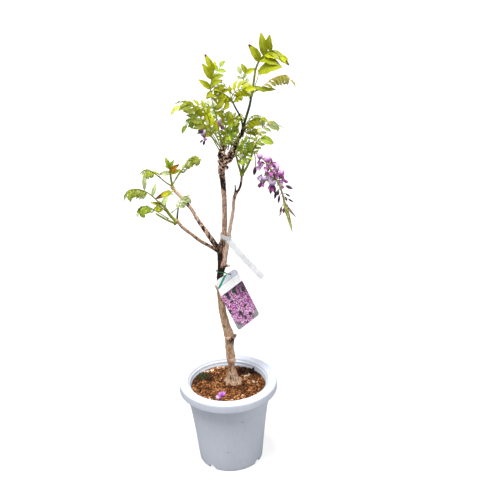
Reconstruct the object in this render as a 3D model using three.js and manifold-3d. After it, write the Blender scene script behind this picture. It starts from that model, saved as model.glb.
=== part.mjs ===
// A young grafted wisteria in a white plastic pot, with its nursery label.
// Millimetres, +Z up. The pot stands on z = 0, centred on the Z axis, and its front is -Y.

import * as THREE from 'three';
import { mergeVertices } from 'three/addons/utils/BufferGeometryUtils.js';
import Module from 'manifold-3d';

const wasm = await Module();
wasm.setup();

// ---------- driving dimensions ----------

const GAP = 0.3; // between two pieces that touch
const RIM_R = 90; // a "6-go" pot, 180 mm across its rim
const POT_H = 164.5;
const MOUTH_R = 73.5;
const RIM_DEPTH = 18.5;
const FOOT_R = 58;
const WALL = 2.4;
const FLOOR_Z = 9.4; // top of the raised floor
const PAD_R = 22; // the middle of the floor reaches down to the ground
const POT_FACETS = 28;
const NOTCH_ANGLES = [-36, 54, 144, 234]; // drain slots in the foot, degrees from the front
const NOTCH = { halfWidth: 6.5, height: 6 };
const LIP_FOOT = POT_H - 10.2; // where the stepped lip meets the tapered wall
const DRAIN = { radius: 4, ring: 38, count: 4 };

const SOIL_Z = 151.5;
const SOIL_R = 68.6;
const SOIL_RINGS = [66, 58, 49, 40, 31];
const STEM_HOLE = { x: 9, y: 12, radius: 22 };
const STUMP_Z = 88; // the underside of the root stump
const GRANULES = { count: 8, reach: 62, smallest: 2.6, range: 2.2, flat: 0.7 };

const BLADE = 0.7; // thickness of leaflets and petals
const RACHIS = 1.8;
const LEAFLET_FOOT = 1.5;
const SINK = 1; // how far a single leaflet's foot runs into its stem
const CARD = { width: 50, picture: 76, header: 30, thickness: 0.7, hole: 1.6 };
const STRAP = { height: 8.5, thickness: 0.7, z: 452.5 };
const TIE_R = 0.8;

// ---------- solids ----------

const vec = (p) => new THREE.Vector3(p[0], p[1], p[2]);

// The same draw every time for the same seed.
function seeded(seed) {
  let state = seed;
  return () => {
    state = (state + 0x6d2b79f5) | 0;
    let t = Math.imul(state ^ (state >>> 15), 1 | state);
    t = (t + Math.imul(t ^ (t >>> 7), 61 | t)) ^ t;
    return ((t ^ (t >>> 14)) >>> 0) / 4294967296;
  };
}

// A closed geometry as a manifold-3d solid; faces that shrank to a line are left out.
function solid(geometry) {
  const bare = geometry.clone();
  bare.deleteAttribute('normal');
  bare.deleteAttribute('uv');
  const merged = mergeVertices(bare, 1e-4);
  const corners = merged.index.array;
  const kept = [];
  for (let i = 0; i < corners.length; i += 3) {
    const [a, b, c] = [corners[i], corners[i + 1], corners[i + 2]];
    if (a !== b && b !== c && a !== c) kept.push(a, b, c);
  }
  return new wasm.Manifold(new wasm.Mesh({
    numProp: 3,
    vertProperties: new Float32Array(merged.attributes.position.array),
    triVerts: new Uint32Array(kept),
  }));
}

function geometryFrom(points, faces) {
  const geometry = new THREE.BufferGeometry();
  const numbers = points.flatMap((p) => p.toArray());
  geometry.setAttribute('position', new THREE.Float32BufferAttribute(numbers, 3));
  geometry.setIndex(faces.flat());
  return geometry;
}

function geometryOf(manifold) {
  const mesh = manifold.getMesh();
  const geometry = new THREE.BufferGeometry();
  geometry.setAttribute('position', new THREE.BufferAttribute(mesh.vertProperties, 3));
  geometry.setIndex(new THREE.BufferAttribute(mesh.triVerts, 1));
  const flat = geometry.toNonIndexed();
  flat.computeVertexNormals();
  return flat;
}

const fuse = (solids) => solids.reduce((whole, next) => whole.add(next));

// The largest of the bodies that a cut leaves.
function largest(manifold) {
  const bodies = manifold.decompose();
  return bodies.reduce((best, body) => (body.volume() > best.volume() ? body : best));
}

// A round rod through points [x, y, z, radius], with flat ends. `extra` swells it all round,
// `roughness` moves each corner in or out by a share of the radius.
function rod(points, { sides = 3, extra = 0, roughness = 0, seed = 1 } = {}) {
  const curve = new THREE.CatmullRomCurve3(points.map(vec), false, 'centripetal');
  const steps = points.length - 1;
  const random = seeded(seed);
  const corners = [];
  const faces = [];
  let normal = null;
  for (let i = 0; i <= steps; i += 1) {
    const centre = curve.getPoint(i / steps);
    const tangent = curve.getTangent(i / steps);
    if (!normal) normal = new THREE.Vector3().crossVectors(tangent, vec([0.3, 1, 0.2])).normalize();
    normal.addScaledVector(tangent, -normal.dot(tangent)).normalize();
    const across = new THREE.Vector3().crossVectors(tangent, normal);
    if (i === 0) centre.addScaledVector(tangent, -extra);
    if (i === steps) centre.addScaledVector(tangent, extra);
    for (let j = 0; j < sides; j += 1) {
      const turn = (2 * Math.PI * j) / sides;
      const reach = points[i][3] * (1 + roughness * (2 * random() - 1)) + extra;
      corners.push(centre.clone()
        .addScaledVector(normal, reach * Math.cos(turn))
        .addScaledVector(across, reach * Math.sin(turn)));
    }
  }
  for (let i = 0; i < steps; i += 1) {
    for (let j = 0; j < sides; j += 1) {
      const next = (j + 1) % sides;
      const [a, b] = [i * sides + j, i * sides + next];
      faces.push([a, b, b + sides], [a, b + sides, a + sides]);
    }
  }
  const last = steps * sides;
  for (let j = 1; j < sides - 1; j += 1) {
    faces.push([0, j + 1, j], [last, last + j, last + j + 1]);
  }
  return solid(geometryFrom(corners, faces));
}

// A spindle of `sides` corners round its middle: a bud, a scale or a flower's keel.
function spindle(base, tip, radius, { sides = 4, belly = 0.5, flat = 1 } = {}) {
  const [start, end] = [vec(base), vec(tip)];
  const along = end.clone().sub(start);
  const axis = along.clone().normalize();
  const side = new THREE.Vector3().crossVectors(axis, vec([0.2, 0.9, 0.35])).normalize();
  const up = new THREE.Vector3().crossVectors(side, axis);
  const middle = start.clone().addScaledVector(along, belly);
  const corners = [start, end];
  const faces = [];
  for (let j = 0; j < sides; j += 1) {
    const turn = (2 * Math.PI * j) / sides;
    corners.push(middle.clone()
      .addScaledVector(side, radius * flat * Math.cos(turn))
      .addScaledVector(up, -radius * Math.sin(turn)));
    const [a, b] = [2 + j, 2 + ((j + 1) % sides)];
    faces.push([0, b, a], [1, a, b]);
  }
  return solid(geometryFrom(corners, faces));
}

// Half outlines of the blades: [share of the length, share of the half width].
const LEAFLET = [[0.24, 0.94], [0.68, 0.86]];
const SMALL_LEAFLET = [[0.45, 1]];
const FINE_LEAFLET = 17.5; // shorter leaflets keep to the simple outline
const STANDARD = [[0.2, 0.8], [0.75, 1]];

// A leaflet or petal from its base to its tip. `face` is where its upper side looks,
// its halves rise from the midrib by `fold`, and it arches by `arch`, both shares of its size.
function blade({ base, tip, width, face, outline = LEAFLET, fold = 0.22, arch = 0.1 }) {
  const root = vec(base);
  const along = vec(tip).sub(root);
  const length = along.length();
  const ahead = along.clone().normalize();
  const up = vec(face);
  up.addScaledVector(ahead, -up.dot(ahead)).normalize();
  const right = new THREE.Vector3().crossVectors(ahead, up);
  const place = (u, v) => root.clone()
    .addScaledVector(along, u)
    .addScaledVector(right, (v * width) / 2)
    .addScaledVector(up, 4 * arch * length * u * (1 - u) + (fold * Math.abs(v) * width) / 2);
  const rim = [
    place(0, 0),
    ...outline.map(([u, v]) => place(u, v)),
    place(1, 0),
    ...outline.toReversed().map(([u, v]) => place(u, -v)),
  ];
  const flat = [...rim, place(0.45, 0)];
  const corners = [
    ...flat.map((p) => p.clone().addScaledVector(up, BLADE / 2)),
    ...flat.map((p) => p.clone().addScaledVector(up, -BLADE / 2)),
  ];
  const [count, middle] = [rim.length, rim.length];
  const under = flat.length;
  const faces = [];
  for (let k = 0; k < count; k += 1) {
    const next = (k + 1) % count;
    faces.push([middle, k, next], [under + middle, under + next, under + k]);
    faces.push([under + k, under + next, next], [under + k, next, k]);
  }
  return solid(geometryFrom(corners, faces));
}

// A pinnate leaf in one skin: a flat rachis along a curve, with leaflets in opposite pairs
// along its outer part and one at its tip. `spread` is the angle between leaflet and rachis,
// `droop` how far they hang below the leaf's plane, and `face` where its upper side looks.
function leaf({ path, from = 0.35, pairs = 4, size = 20, slim = 0.46, spread = 58, droop = 20,
  face = [0, -0.4, 1], fold = 0.22, arch = 0.1, seed = 1 }) {
  const outline = size < FINE_LEAFLET ? SMALL_LEAFLET : LEAFLET;
  const random = seeded(seed);
  const jitter = (range) => range * (2 * random() - 1);
  const curve = new THREE.CatmullRomCurve3(path.map(vec), false, 'centripetal');
  const foot = LEAFLET_FOOT / curve.getLength();
  const stalk = pairs ? from : 1;
  const bare = Math.max(2, Math.round(stalk * (path.length - 1)));
  const stations = Array.from({ length: bare }, (_, i) => (stalk * i) / bare);
  for (let k = 0; k < pairs; k += 1) {
    const t = from + ((1 - from) * (k + 0.15)) / (pairs + 0.1);
    stations.push(t, t + foot);
  }
  stations.push(1);

  const corners = [];
  const faces = [];
  const frames = stations.map((t) => {
    const centre = curve.getPointAt(t);
    const ahead = curve.getTangentAt(t);
    const up = vec(face);
    up.addScaledVector(ahead, -up.dot(ahead)).normalize();
    const right = new THREE.Vector3().crossVectors(ahead, up);
    const half = RACHIS / 2 * (1 - 0.35 * t);
    for (const [x, y] of [[-1, 1], [1, 1], [1, -1], [-1, -1]]) {
      corners.push(centre.clone().addScaledVector(right, x * half).addScaledVector(up, y * half * 0.8));
    }
    return { ahead, up, right };
  });

  // A leaflet on the edge from corner a to corner b of the upper side; their lower twins are c, d.
  function addLeaflet([a, b, c, d], ahead, up, length) {
    const root = [a, b, c, d].reduce((sum, i) => sum.add(corners[i]), vec([0, 0, 0])).multiplyScalar(0.25);
    const right = new THREE.Vector3().crossVectors(ahead, up);
    const put = (u, v, side) => corners.push(root.clone()
      .addScaledVector(ahead, u * length)
      .addScaledVector(right, (v * slim * length) / 2)
      .addScaledVector(up, 4 * arch * length * u * (1 - u) + (fold * Math.abs(v) * slim * length) / 2
        + (side * BLADE) / 2)) - 1;
    const shape = [...outline, [1, 0], ...outline.toReversed().map(([u, v]) => [u, -v])];
    const above = [a, ...shape.map(([u, v]) => put(u, v, 1)), b];
    const below = [c, ...shape.map(([u, v]) => put(u, v, -1)), d];
    const [top, bottom] = [put(0.45, 0, 1), put(0.45, 0, -1)];
    for (let k = 0; k < above.length; k += 1) {
      const next = (k + 1) % above.length;
      faces.push([top, above[k], above[next]], [bottom, below[next], below[k]]);
      if (next) faces.push([below[k], below[next], above[next]], [below[k], above[next], above[k]]);
    }
  }

  const quad = (a, b, c, d) => faces.push([a, b, c], [a, c, d]);
  quad(0, 3, 2, 1);
  for (let i = 0; i < stations.length - 1; i += 1) {
    const [tl, tr, br, bl] = [4 * i, 4 * i + 1, 4 * i + 2, 4 * i + 3];
    quad(tl, tr, tr + 4, tl + 4);
    quad(bl, bl + 4, br + 4, br);
    const pair = (i - bare) / 2;
    if (pair < 0 || !Number.isInteger(pair) || pair >= pairs) {
      quad(tr, br, br + 4, tr + 4);
      quad(tl, tl + 4, bl + 4, bl);
      continue;
    }
    const { ahead, up, right } = frames[i];
    for (const side of [-1, 1]) {
      const turn = THREE.MathUtils.degToRad(spread - 14 * (pair / pairs) + jitter(5));
      const hang = THREE.MathUtils.degToRad(droop + jitter(6));
      const swell = 0.78 + 0.22 * Math.sin(Math.PI * ((pair + 1) / (pairs + 1)));
      const length = size * swell * (1 + jitter(0.08));
      const out = right.clone().multiplyScalar(side * Math.cos(hang)).addScaledVector(up, -Math.sin(hang));
      addLeaflet(
        side > 0 ? [tr, tr + 4, br, br + 4] : [tl + 4, tl, bl + 4, bl],
        ahead.clone().multiplyScalar(Math.cos(turn)).addScaledVector(out, Math.sin(turn)),
        up.clone().multiplyScalar(Math.cos(hang)).addScaledVector(right, side * Math.sin(hang)),
        length,
      );
    }
  }
  const last = 4 * (stations.length - 1);
  const end = frames.at(-1);
  addLeaflet([last + 1, last, last + 2, last + 3], end.ahead, end.up, size);
  return solid(geometryFrom(corners, faces));
}

// ---------- pot ----------

const around = (profile, facets) => solid(
  new THREE.LatheGeometry(profile.map(([r, z]) => new THREE.Vector2(r, z)), facets).rotateX(Math.PI / 2),
);

function pot() {
  const rimFoot = POT_H - RIM_DEPTH;
  const body = around([
    [0, 0], [PAD_R, 0], [PAD_R + 1.5, FLOOR_Z - WALL], [FOOT_R - 4, FLOOR_Z - WALL],
    [FOOT_R - 3.5, 0], [FOOT_R - 1, 0], [FOOT_R, 2],
    [67.6, 117], [70, 119.5], [71, rimFoot], [RIM_R - 2, rimFoot], [RIM_R, rimFoot + 2.5],
    [RIM_R, POT_H - 2], [RIM_R - 1.2, POT_H], [MOUTH_R, POT_H], [MOUTH_R - 1, POT_H - 3.5],
    [MOUTH_R - 3.2, POT_H - 4.2], [MOUTH_R - 3.6, POT_H - 9.5], [SOIL_R + GAP, LIP_FOOT],
    [FOOT_R - 2, FLOOR_Z], [PAD_R + 2, FLOOR_Z], [PAD_R - 1, WALL], [0, WALL],
  ], POT_FACETS);
  const arch = new THREE.Shape()
    .moveTo(-NOTCH.halfWidth, -1)
    .lineTo(NOTCH.halfWidth, -1)
    .lineTo(NOTCH.halfWidth, 0)
    .absellipse(0, 0, NOTCH.halfWidth, NOTCH.height, 0, Math.PI);
  const cuts = NOTCH_ANGLES.map((angle) => solid(
    new THREE.ExtrudeGeometry(arch, { depth: 14, bevelEnabled: false, curveSegments: 4 })
      .rotateX(Math.PI / 2)
      .translate(0, -48, 0)
      .rotateZ(THREE.MathUtils.degToRad(angle)),
  ));
  for (let k = 0; k < DRAIN.count; k += 1) {
    cuts.push(solid(
      new THREE.CylinderGeometry(DRAIN.radius, DRAIN.radius, 12, 8)
        .rotateX(Math.PI / 2)
        .translate(DRAIN.ring, 0, FLOOR_Z)
        .rotateZ(THREE.MathUtils.degToRad(9 + (360 / DRAIN.count) * k)),
    ));
  }
  return body.subtract(fuse(cuts));
}

// ---------- soil ----------

// Places on the soil that are kept free of lumps, for the stem and the litter: [x, y, radius].
const SOIL_LITTER = [[9, 12, 24], [-45, 30, 13], [46, 42, 12], [-19, -42, 14]];

// Height of the loose surface: a low crown with small heaps and hollows.
const soilTop = (x, y) => SOIL_Z + 1.5 * (1 - (x * x + y * y) / SOIL_R ** 2)
  + 1.0 * Math.sin(0.21 * x + 0.4) * Math.sin(0.19 * y + 1.1)
  + 0.8 * Math.sin(0.53 * x - 0.7) * Math.sin(0.61 * y + 2.0);

function soil() {
  const edge = SOIL_Z - 1;
  const taper = (SOIL_R - FOOT_R + 2) / (LIP_FOOT - FLOOR_Z);
  const side = (z) => SOIL_R - taper * (LIP_FOOT - z) - GAP;
  const geometry = new THREE.LatheGeometry([
    [0, WALL + GAP], [PAD_R - 1.6, WALL + GAP], [PAD_R + 1.6, FLOOR_Z + GAP],
    [side(FLOOR_Z + GAP), FLOOR_Z + GAP], [side(edge), edge],
    ...SOIL_RINGS.map((r) => [r, SOIL_Z]), [0, SOIL_Z],
  ].map(([r, z]) => new THREE.Vector2(r, z)), POT_FACETS).rotateX(Math.PI / 2);
  const place = geometry.attributes.position;
  for (let i = 0; i < place.count; i += 1) {
    if (place.getZ(i) > edge + 0.1) place.setZ(i, soilTop(place.getX(i), place.getY(i)));
  }
  const random = seeded(11);
  const lumps = [];
  while (lumps.length < GRANULES.count) {
    const reach = GRANULES.reach * Math.sqrt(random());
    const turn = 2 * Math.PI * random();
    const [x, y] = [reach * Math.cos(turn), reach * Math.sin(turn)];
    const size = GRANULES.smallest + GRANULES.range * random();
    const spin = random() * 6;
    if (SOIL_LITTER.some(([u, v, r]) => Math.hypot(x - u, y - v) < r + size)) continue;
    lumps.push(solid(new THREE.IcosahedronGeometry(size, 0)
      .rotateX(spin)
      .rotateZ(2 * spin)
      .scale(1, 1, GRANULES.flat)
      .translate(x, y, soilTop(x, y) + 0.15 * size)));
  }
  const depth = 100;
  const hole = solid(new THREE.CylinderGeometry(STEM_HOLE.radius, STEM_HOLE.radius, depth, 20)
    .rotateX(Math.PI / 2)
    .translate(STEM_HOLE.x, STEM_HOLE.y, STUMP_Z - GAP + depth / 2));
  return largest(solid(geometry).add(fuse(lumps)).subtract(hole));
}

// ---------- wood: one grown piece ----------

const TRUNK = [
  [9, 12, STUMP_Z, 10], [9, 12, 126, 13], [9, 12, 147, 17.5], [9, 12, 153, 16], [8.5, 11.5, 161, 11.5],
  [8, 11, 171, 8.8], [7, 10, 188, 6], [7, 9, 202, 8], [5, 7, 229, 7.3], [6, 5, 251, 8.6],
  [1, 3, 276, 7], [-4, 1, 304, 6.6], [-6, 0, 330, 6.2], [-7, 0, 354, 6], [-6, 0, 376, 6.3],
  [-3, 0, 398, 6.5], [-3, 0, 418, 5.8], [-2, 0, 431, 7], [3, 2, 452, 4.2], [6, 2, 475, 4],
  [7, 2, 505, 3.7], [7, 2, 533, 4.1], [6, 2, 558, 4.8], [5, 2, 578, 5.4], [6, 2, 596, 6.8],
  [6, 0, 612, 5.8], [10, 0, 624, 4.2],
];
const FORK_RIGHT = [
  [8, 2, 590, 5], [17, 4, 598, 5.7], [23, 6, 605, 5.3], [31, 10, 621, 4], [36, 12, 632, 3.5],
  [43, 14, 643, 3.4], [45, 15, 651, 3.8], [45, 15, 657, 3.3],
];
const BRANCH_HIGH = [
  [-2, 0, 424, 4.8], [-17, 4, 444, 4.1], [-31, 9, 464, 3.8], [-43, 14, 482, 3.1],
  [-52, 18, 502, 2.8], [-66, 22, 520, 2.9], [-77, 25, 534, 3.1], [-83, 26, 543, 3.2],
];
const BRANCH_LOW = [
  [-3, 0, 424, 4], [-9, -2, 430, 3.4], [-24, -8, 444.5, 2.7], [-36, -14, 455.5, 2.6],
  [-51, -22, 474, 2.5], [-65, -30, 491, 2.4], [-75, -36, 508, 2.5],
];
const PALE_STEM = [
  [-1, -2, 390, 3.6], [4, -6, 409, 3.3], [6, -7, 425, 3.1], [11, -9, 447, 2.8], [15, -11, 470, 2.5],
  [19, -12, 492, 2.4], [22, -13, 511, 2.3], [25, -14, 537, 2.5], [29, -14, 543, 2.2],
  [35, -15, 554, 2], [38, -15, 567, 1.9], [39, -15, 580, 2],
];
const SPURS = [
  [[25, -14, 535, 1.9], [27, -14, 548, 1.5], [27, -14, 558, 1.1]],
  [[20, 5, 602, 1.8], [29, 0, 610, 1.4], [37, -3, 616, 1]],
  [[14, 0, 600, 1.8], [20, -2, 616, 1.4], [27, -1, 632, 1]],
  [[4, 0, 598, 2.2], [-3, -3, 606, 1.7], [-2, -4, 614, 1.2]],
  [[-8, 0, 351, 2.4], [-13, -1, 356, 2.1], [-16, -1, 361, 1.2]],
  [[-30, 9, 464, 2], [-33, 8, 470, 1.2]],
  [[-57, 19, 507, 1.8], [-54, 18, 514, 1.1]],
];
const KNOTS = [
  [-5, -1, 432, 6.2], [4, -1, 251, 6.5], [10, -1, 596, 5.4], [0, -2, 585, 4.6], [24, 3, 607, 4.6],
];
const ROOTS = { count: 5, reach: 15, radius: 4.2 };

// Swollen by `extra`, the same wood cuts the seats of what grows from it or hugs it.
function wood(extra = 0) {
  const roots = [];
  for (let k = 0; k < ROOTS.count; k += 1) {
    const turn = (2 * Math.PI * (k + 0.35)) / ROOTS.count;
    const at = (reach) => [STEM_HOLE.x + reach * Math.cos(turn), STEM_HOLE.y + reach * Math.sin(turn)];
    roots.push(rod([
      [...at(2), 167, 3.5], [...at(9), 156, 4.4], [...at(ROOTS.reach), 148, ROOTS.radius],
      [...at(ROOTS.reach + 1), 139, 2.6],
    ], { sides: 4, extra }));
  }
  return fuse([
    rod(TRUNK, { sides: 7, roughness: 0.09, seed: 5, extra }),
    rod(FORK_RIGHT, { sides: 6, roughness: 0.1, seed: 6, extra }),
    rod(BRANCH_HIGH, { sides: 5, roughness: 0.08, seed: 7, extra }),
    rod(BRANCH_LOW, { sides: 5, roughness: 0.06, seed: 8, extra }),
    rod(PALE_STEM, { sides: 5, roughness: 0.06, seed: 9, extra }),
    ...SPURS.map((path) => rod(path, { sides: 4, extra })),
    ...KNOTS.map(([x, y, z, r]) => solid(new THREE.IcosahedronGeometry(r + extra, 0).translate(x, y, z))),
    ...roots,
  ]);
}

// ---------- leafy shoots ----------

const VIEW = [0, -0.85, 0.5];
const SKY = [0, -0.35, 1];
const COMB = { droop: 64, spread: 72, slim: 0.4 }; // young leaves hang folded like a comb

// Each shoot: stems as rods, whole leaves by rule, and large leaflets one by one.
const SHOOTS = [
  {
    name: 'shoot_top',
    colour: 0xa3b520,
    stems: [[[45, 15, 652, 1.9], [46, 15, 661, 1.9], [55, 14, 690, 1.7], [58, 13, 708, 1.5]]],
    leaves: [
      { path: [[58, 13, 706], [63, 12, 731], [69, 10, 754], [75, 10, 768], [84, 8, 778], [94, 2, 787],
        [103, -5, 785], [109, -12, 779]], pairs: 0, size: 14, slim: 0.45 },
      { path: [[58, 13, 706], [66, 9, 727], [70, 5, 740], [72, 2, 753]], pairs: 0, size: 8 },
      { path: [[58, 13, 709], [73, 18, 717], [83, 24, 721], [95, 32, 727], [111, 40, 729], [125, 46, 726],
        [134, 50, 717]], from: 0.4, pairs: 6, size: 19, ...COMB, slim: 0.34, seed: 331 },
      { path: [[56, 14, 699], [50, 24, 712], [47, 32, 724], [53, 40, 739]], pairs: 0, size: 6 },
      { path: [[53, 14, 685], [47, 30, 698], [43, 45, 708], [40, 54, 724], [34, 60, 738]], from: 0.5,
        pairs: 3, size: 15, droop: 50, face: VIEW, seed: 32 },
    ],
    blades: [
      { base: [75, 10, 768], tip: [61, 4, 797], width: 12, face: [0.3, -0.9, 0.3] },
      { base: [84, 8, 778], tip: [79, 10, 815], width: 10.5, face: [0.1, -0.95, 0.1] },
      { base: [94, 2, 787], tip: [90, -2, 813], width: 9, face: [-0.5, -0.8, 0] },
      { base: [77, 8, 769], tip: [107, -18, 770], width: 12, face: [0.1, -0.5, 0.8] },
      { base: [86, 6, 779], tip: [109, -14, 782], width: 11, face: [0, -0.7, 0.7] },
      { base: [72, 2, 752], tip: [110, -22, 768], width: 14, face: [-0.2, -0.6, 0.8] },
      { base: [108, -11, 780], tip: [122, -14, 786], width: 6.5, face: VIEW },
      { base: [53, 40, 738], tip: [45, 44, 753], width: 9, face: VIEW },
      { base: [53, 40, 738], tip: [68, 36, 746], width: 9, face: VIEW },
      { base: [59, 13, 711], tip: [78, 0, 720], width: 7, face: [0, -0.3, 1] },
      { base: [66, 10, 726], tip: [98, -14, 729], width: 10, face: [0, -0.4, 1], arch: -0.12 },
    ],
  },
  {
    name: 'shoot_middle',
    colour: 0x8fa61c,
    stems: [[[44, 13, 650, 1.7], [41, 6, 671, 1.6], [33, -4, 692, 1.4], [26, -14, 712, 1.2]]],
    leaves: [
      { path: [[26, -14, 711], [18, -22, 725], [12, -28, 735]], from: 0.3, pairs: 3, size: 17,
        droop: 55, face: SKY, seed: 41 },
      { path: [[30, -9, 702], [21, -20, 716], [11, -30, 727], [3, -38, 731]], pairs: 2, size: 23,
        slim: 0.52, droop: 45, seed: 42 },
      { path: [[30, -9, 702], [37, -18, 714], [45, -26, 721]], from: 0.35, pairs: 2, size: 19, slim: 0.5,
        droop: 45, seed: 143 },
      { path: [[26, -14, 711], [33, -22, 727], [41, -29, 735], [52, -37, 737]], from: 0.25, pairs: 3,
        size: 22, slim: 0.46, droop: 30, seed: 44 },
      { path: [[27, -12, 710], [38, 2, 716], [46, 10, 716], [53, 18, 711]], from: 0.45, pairs: 3, size: 11,
        droop: 60, seed: 45 },
    ],
    blades: [],
  },
  {
    name: 'shoot_tall',
    colour: 0x9cb42a,
    stems: [],
    leaves: [
      { path: [[8, -2, 620], [4, -6, 654], [1, -8, 676], [-4, -10, 700], [-7, -10, 722], [-6, -9, 740],
        [-3, -6, 751], [-1, -3, 759]], pairs: 0, size: 15, face: VIEW },
      { path: [[-6, -9, 738], [3, 8, 748], [9, 18, 755]], from: 0.5, pairs: 1, size: 14, seed: 52 },
    ],
    blades: [
      { base: [-8, -9, 733], tip: [-23, -14, 748], width: 8, face: VIEW },
      { base: [-6, -9, 738], tip: [12, -17, 751], width: 7, face: [-0.3, -0.8, 0.6] },
      { base: [-4, -7, 746], tip: [15, -8, 755], width: 7.5, face: [-0.2, -0.9, 0.5] },
      { base: [-5, -8, 747], tip: [-18, -12, 773], width: 10, face: VIEW },
      { base: [-2, -4, 757], tip: [-14, 2, 785], width: 9, face: [0.2, -0.95, 0.2] },
      { base: [-1, -3, 758], tip: [-4, -12, 776], width: 7, face: VIEW },
    ],
  },
  {
    name: 'leaf_left_outer',
    colour: 0xa9bf2e,
    stems: [],
    leaves: [
      { path: [[7, -1, 618], [-10, -14, 650], [-19, -22, 669], [-27, -28, 685], [-35, -32, 699],
        [-46, -36, 710], [-57, -40, 718], [-67, -44, 721]], from: 0.5, pairs: 5, size: 21, droop: 52,
        seed: 61 },
    ],
    blades: [],
  },
  {
    name: 'leaf_left_curled',
    colour: 0x93a824,
    stems: [],
    leaves: [
      { path: [[6, 1, 617], [-10, 0, 649], [-24, -6, 662], [-33, -12, 674], [-41, -18, 677],
        [-48, -23, 672]], from: 0.5, pairs: 4, size: 16, ...COMB, seed: 62 },
    ],
    blades: [],
  },
  {
    name: 'leaf_left_back',
    colour: 0xbcc94a,
    stems: [],
    leaves: [
      { path: [[7, 1, 616], [-4, 24, 644], [-12, 38, 662], [-20, 48, 684], [-30, 58, 696]], from: 0.45,
        pairs: 4, size: 18, droop: 30, seed: 63 },
    ],
    blades: [],
  },
  {
    name: 'leaf_left_yellow',
    colour: 0xc3c92c,
    stems: [],
    leaves: [
      { path: [[8, 0, 617], [-3, 11, 640], [-15, 14, 658], [-25, 16, 673]], from: 0.45, pairs: 3,
        size: 22, slim: 0.5, droop: 25, face: VIEW, seed: 564 },
    ],
    blades: [],
  },
  {
    name: 'leaf_fork_right',
    colour: 0x9db02a,
    stems: [],
    leaves: [
      { path: [[46, 12, 653], [57, 4, 668], [66, -4, 677], [77, -12, 680]], from: 0.3, pairs: 3, size: 17,
        droop: 40, seed: 65 },
    ],
    blades: [],
  },
  {
    name: 'leaf_fork_pale',
    colour: 0xb9c98a,
    stems: [],
    leaves: [
      { path: [[46, 17, 650], [55, 38, 656], [66, 52, 662], [78, 62, 658], [86, 68, 646]], from: 0.45,
        pairs: 4, size: 15, ...COMB, seed: 66 },
    ],
    blades: [],
  },
  {
    name: 'leaf_fork_comb',
    colour: 0xaebf52,
    stems: [],
    leaves: [
      { path: [[38, 14, 634], [34, 34, 652], [28, 44, 662], [20, 52, 666], [12, 56, 660]], from: 0.4,
        pairs: 5, size: 14, ...COMB, droop: 60, seed: 467 },
    ],
    blades: [],
  },
  {
    name: 'leaf_knob_back',
    colour: 0x8aa32a,
    stems: [],
    leaves: [
      { path: [[11, 2, 622], [13, 16, 634], [15, 27, 650], [17, 36, 666]], from: 0.4, pairs: 2, size: 19,
        droop: 35, seed: 68 },
    ],
    blades: [],
  },
  {
    name: 'leaf_knob_front',
    colour: 0x86a226,
    stems: [],
    leaves: [
      { path: [[12, -2, 622], [22, -22, 638], [30, -38, 648], [36, -50, 650]], from: 0.4, pairs: 3,
        size: 16, droop: 45, seed: 69 },
    ],
    blades: [],
  },
  {
    name: 'shoots_pale_stem',
    colour: 0x8fae2c,
    stems: [
      [[39, -15, 576, 1.5], [37, -18, 595, 1.3], [35, -22, 610, 1.2], [32, -26, 619, 1]],
      [[39, -15, 576, 1.5], [44, -12, 601, 1.3], [46, -8, 610, 1.2], [48, -2, 620, 1]],
      [[39, -15, 576, 1.5], [45, -16, 586, 1.4], [50, -22, 600, 1.3], [55, -30, 618, 1.2],
        [60, -37, 634, 1.1]],
    ],
    leaves: [
      { path: [[32, -26, 618], [26, -32, 626], [19, -36, 630]], from: 0.2, pairs: 3, size: 14, slim: 0.36,
        droop: 37, seed: 571 },
      { path: [[35, -22, 610], [40, -37, 620], [46, -52, 627], [52, -64, 630]], from: 0.4, pairs: 3,
        size: 17, slim: 0.42, droop: 50, seed: 72 },
      { path: [[48, -2, 619], [54, 18, 628], [60, 32, 636], [68, 44, 634]], from: 0.4, pairs: 3, size: 17,
        slim: 0.42, droop: 55, seed: 273 },
      { path: [[60, -37, 633], [67, -28, 648], [74, -21, 658], [84, -14, 663], [95, -6, 665], [105, 0, 656]],
        from: 0.62, pairs: 3, size: 19, slim: 0.44, droop: 48, seed: 574 },
      { path: [[60, -37, 633], [70, -44, 646], [79, -50, 651], [87, -56, 648]], from: 0.55, pairs: 2,
        size: 21, slim: 0.46, droop: 42, seed: 675 },
    ],
    blades: [],
  },
  {
    name: 'shoot_high_branch',
    colour: 0x8ea42a,
    stems: [[[-81, 26, 540, 1.5], [-83, 25, 556, 1.3], [-84, 22, 579, 1.1], [-86, 20, 590, 0.9]]],
    leaves: [
      { path: [[-86, 20, 588], [-88, 19, 597], [-90, 18, 603]], from: 0.1, pairs: 1, size: 12, face: VIEW,
        spread: 40, seed: 81 },
      { path: [[-82, 26, 545], [-93, 18, 557], [-101, 10, 566], [-109, 2, 577], [-117, -6, 584],
        [-124, -12, 585], [-127, -16, 577], [-128, -18, 566]], from: 0.42, pairs: 4, size: 16,
        ...COMB, seed: 282 },
      { path: [[-82, 26, 545], [-73, 34, 555], [-67, 40, 563], [-61, 46, 573], [-53, 52, 579],
        [-44, 57, 579], [-35, 61, 573]], from: 0.4, pairs: 4, size: 17, ...COMB, slim: 0.36, seed: 83 },
    ],
    blades: [
      { base: [-84, 23, 574], tip: [-70, 18, 588], width: 8, face: VIEW },
      { base: [-84, 24, 566], tip: [-74, 14, 574], width: 6, face: SKY },
      { base: [-84, 22, 578], tip: [-98, 24, 582], width: 6, face: VIEW },
    ],
  },
  {
    name: 'shoot_low_branch',
    colour: 0x8fa428,
    stems: [[[-74, -35, 505, 1.7], [-83, -38, 519, 1.6], [-92, -42, 537, 1.4], [-100, -46, 549, 1.2]]],
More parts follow.
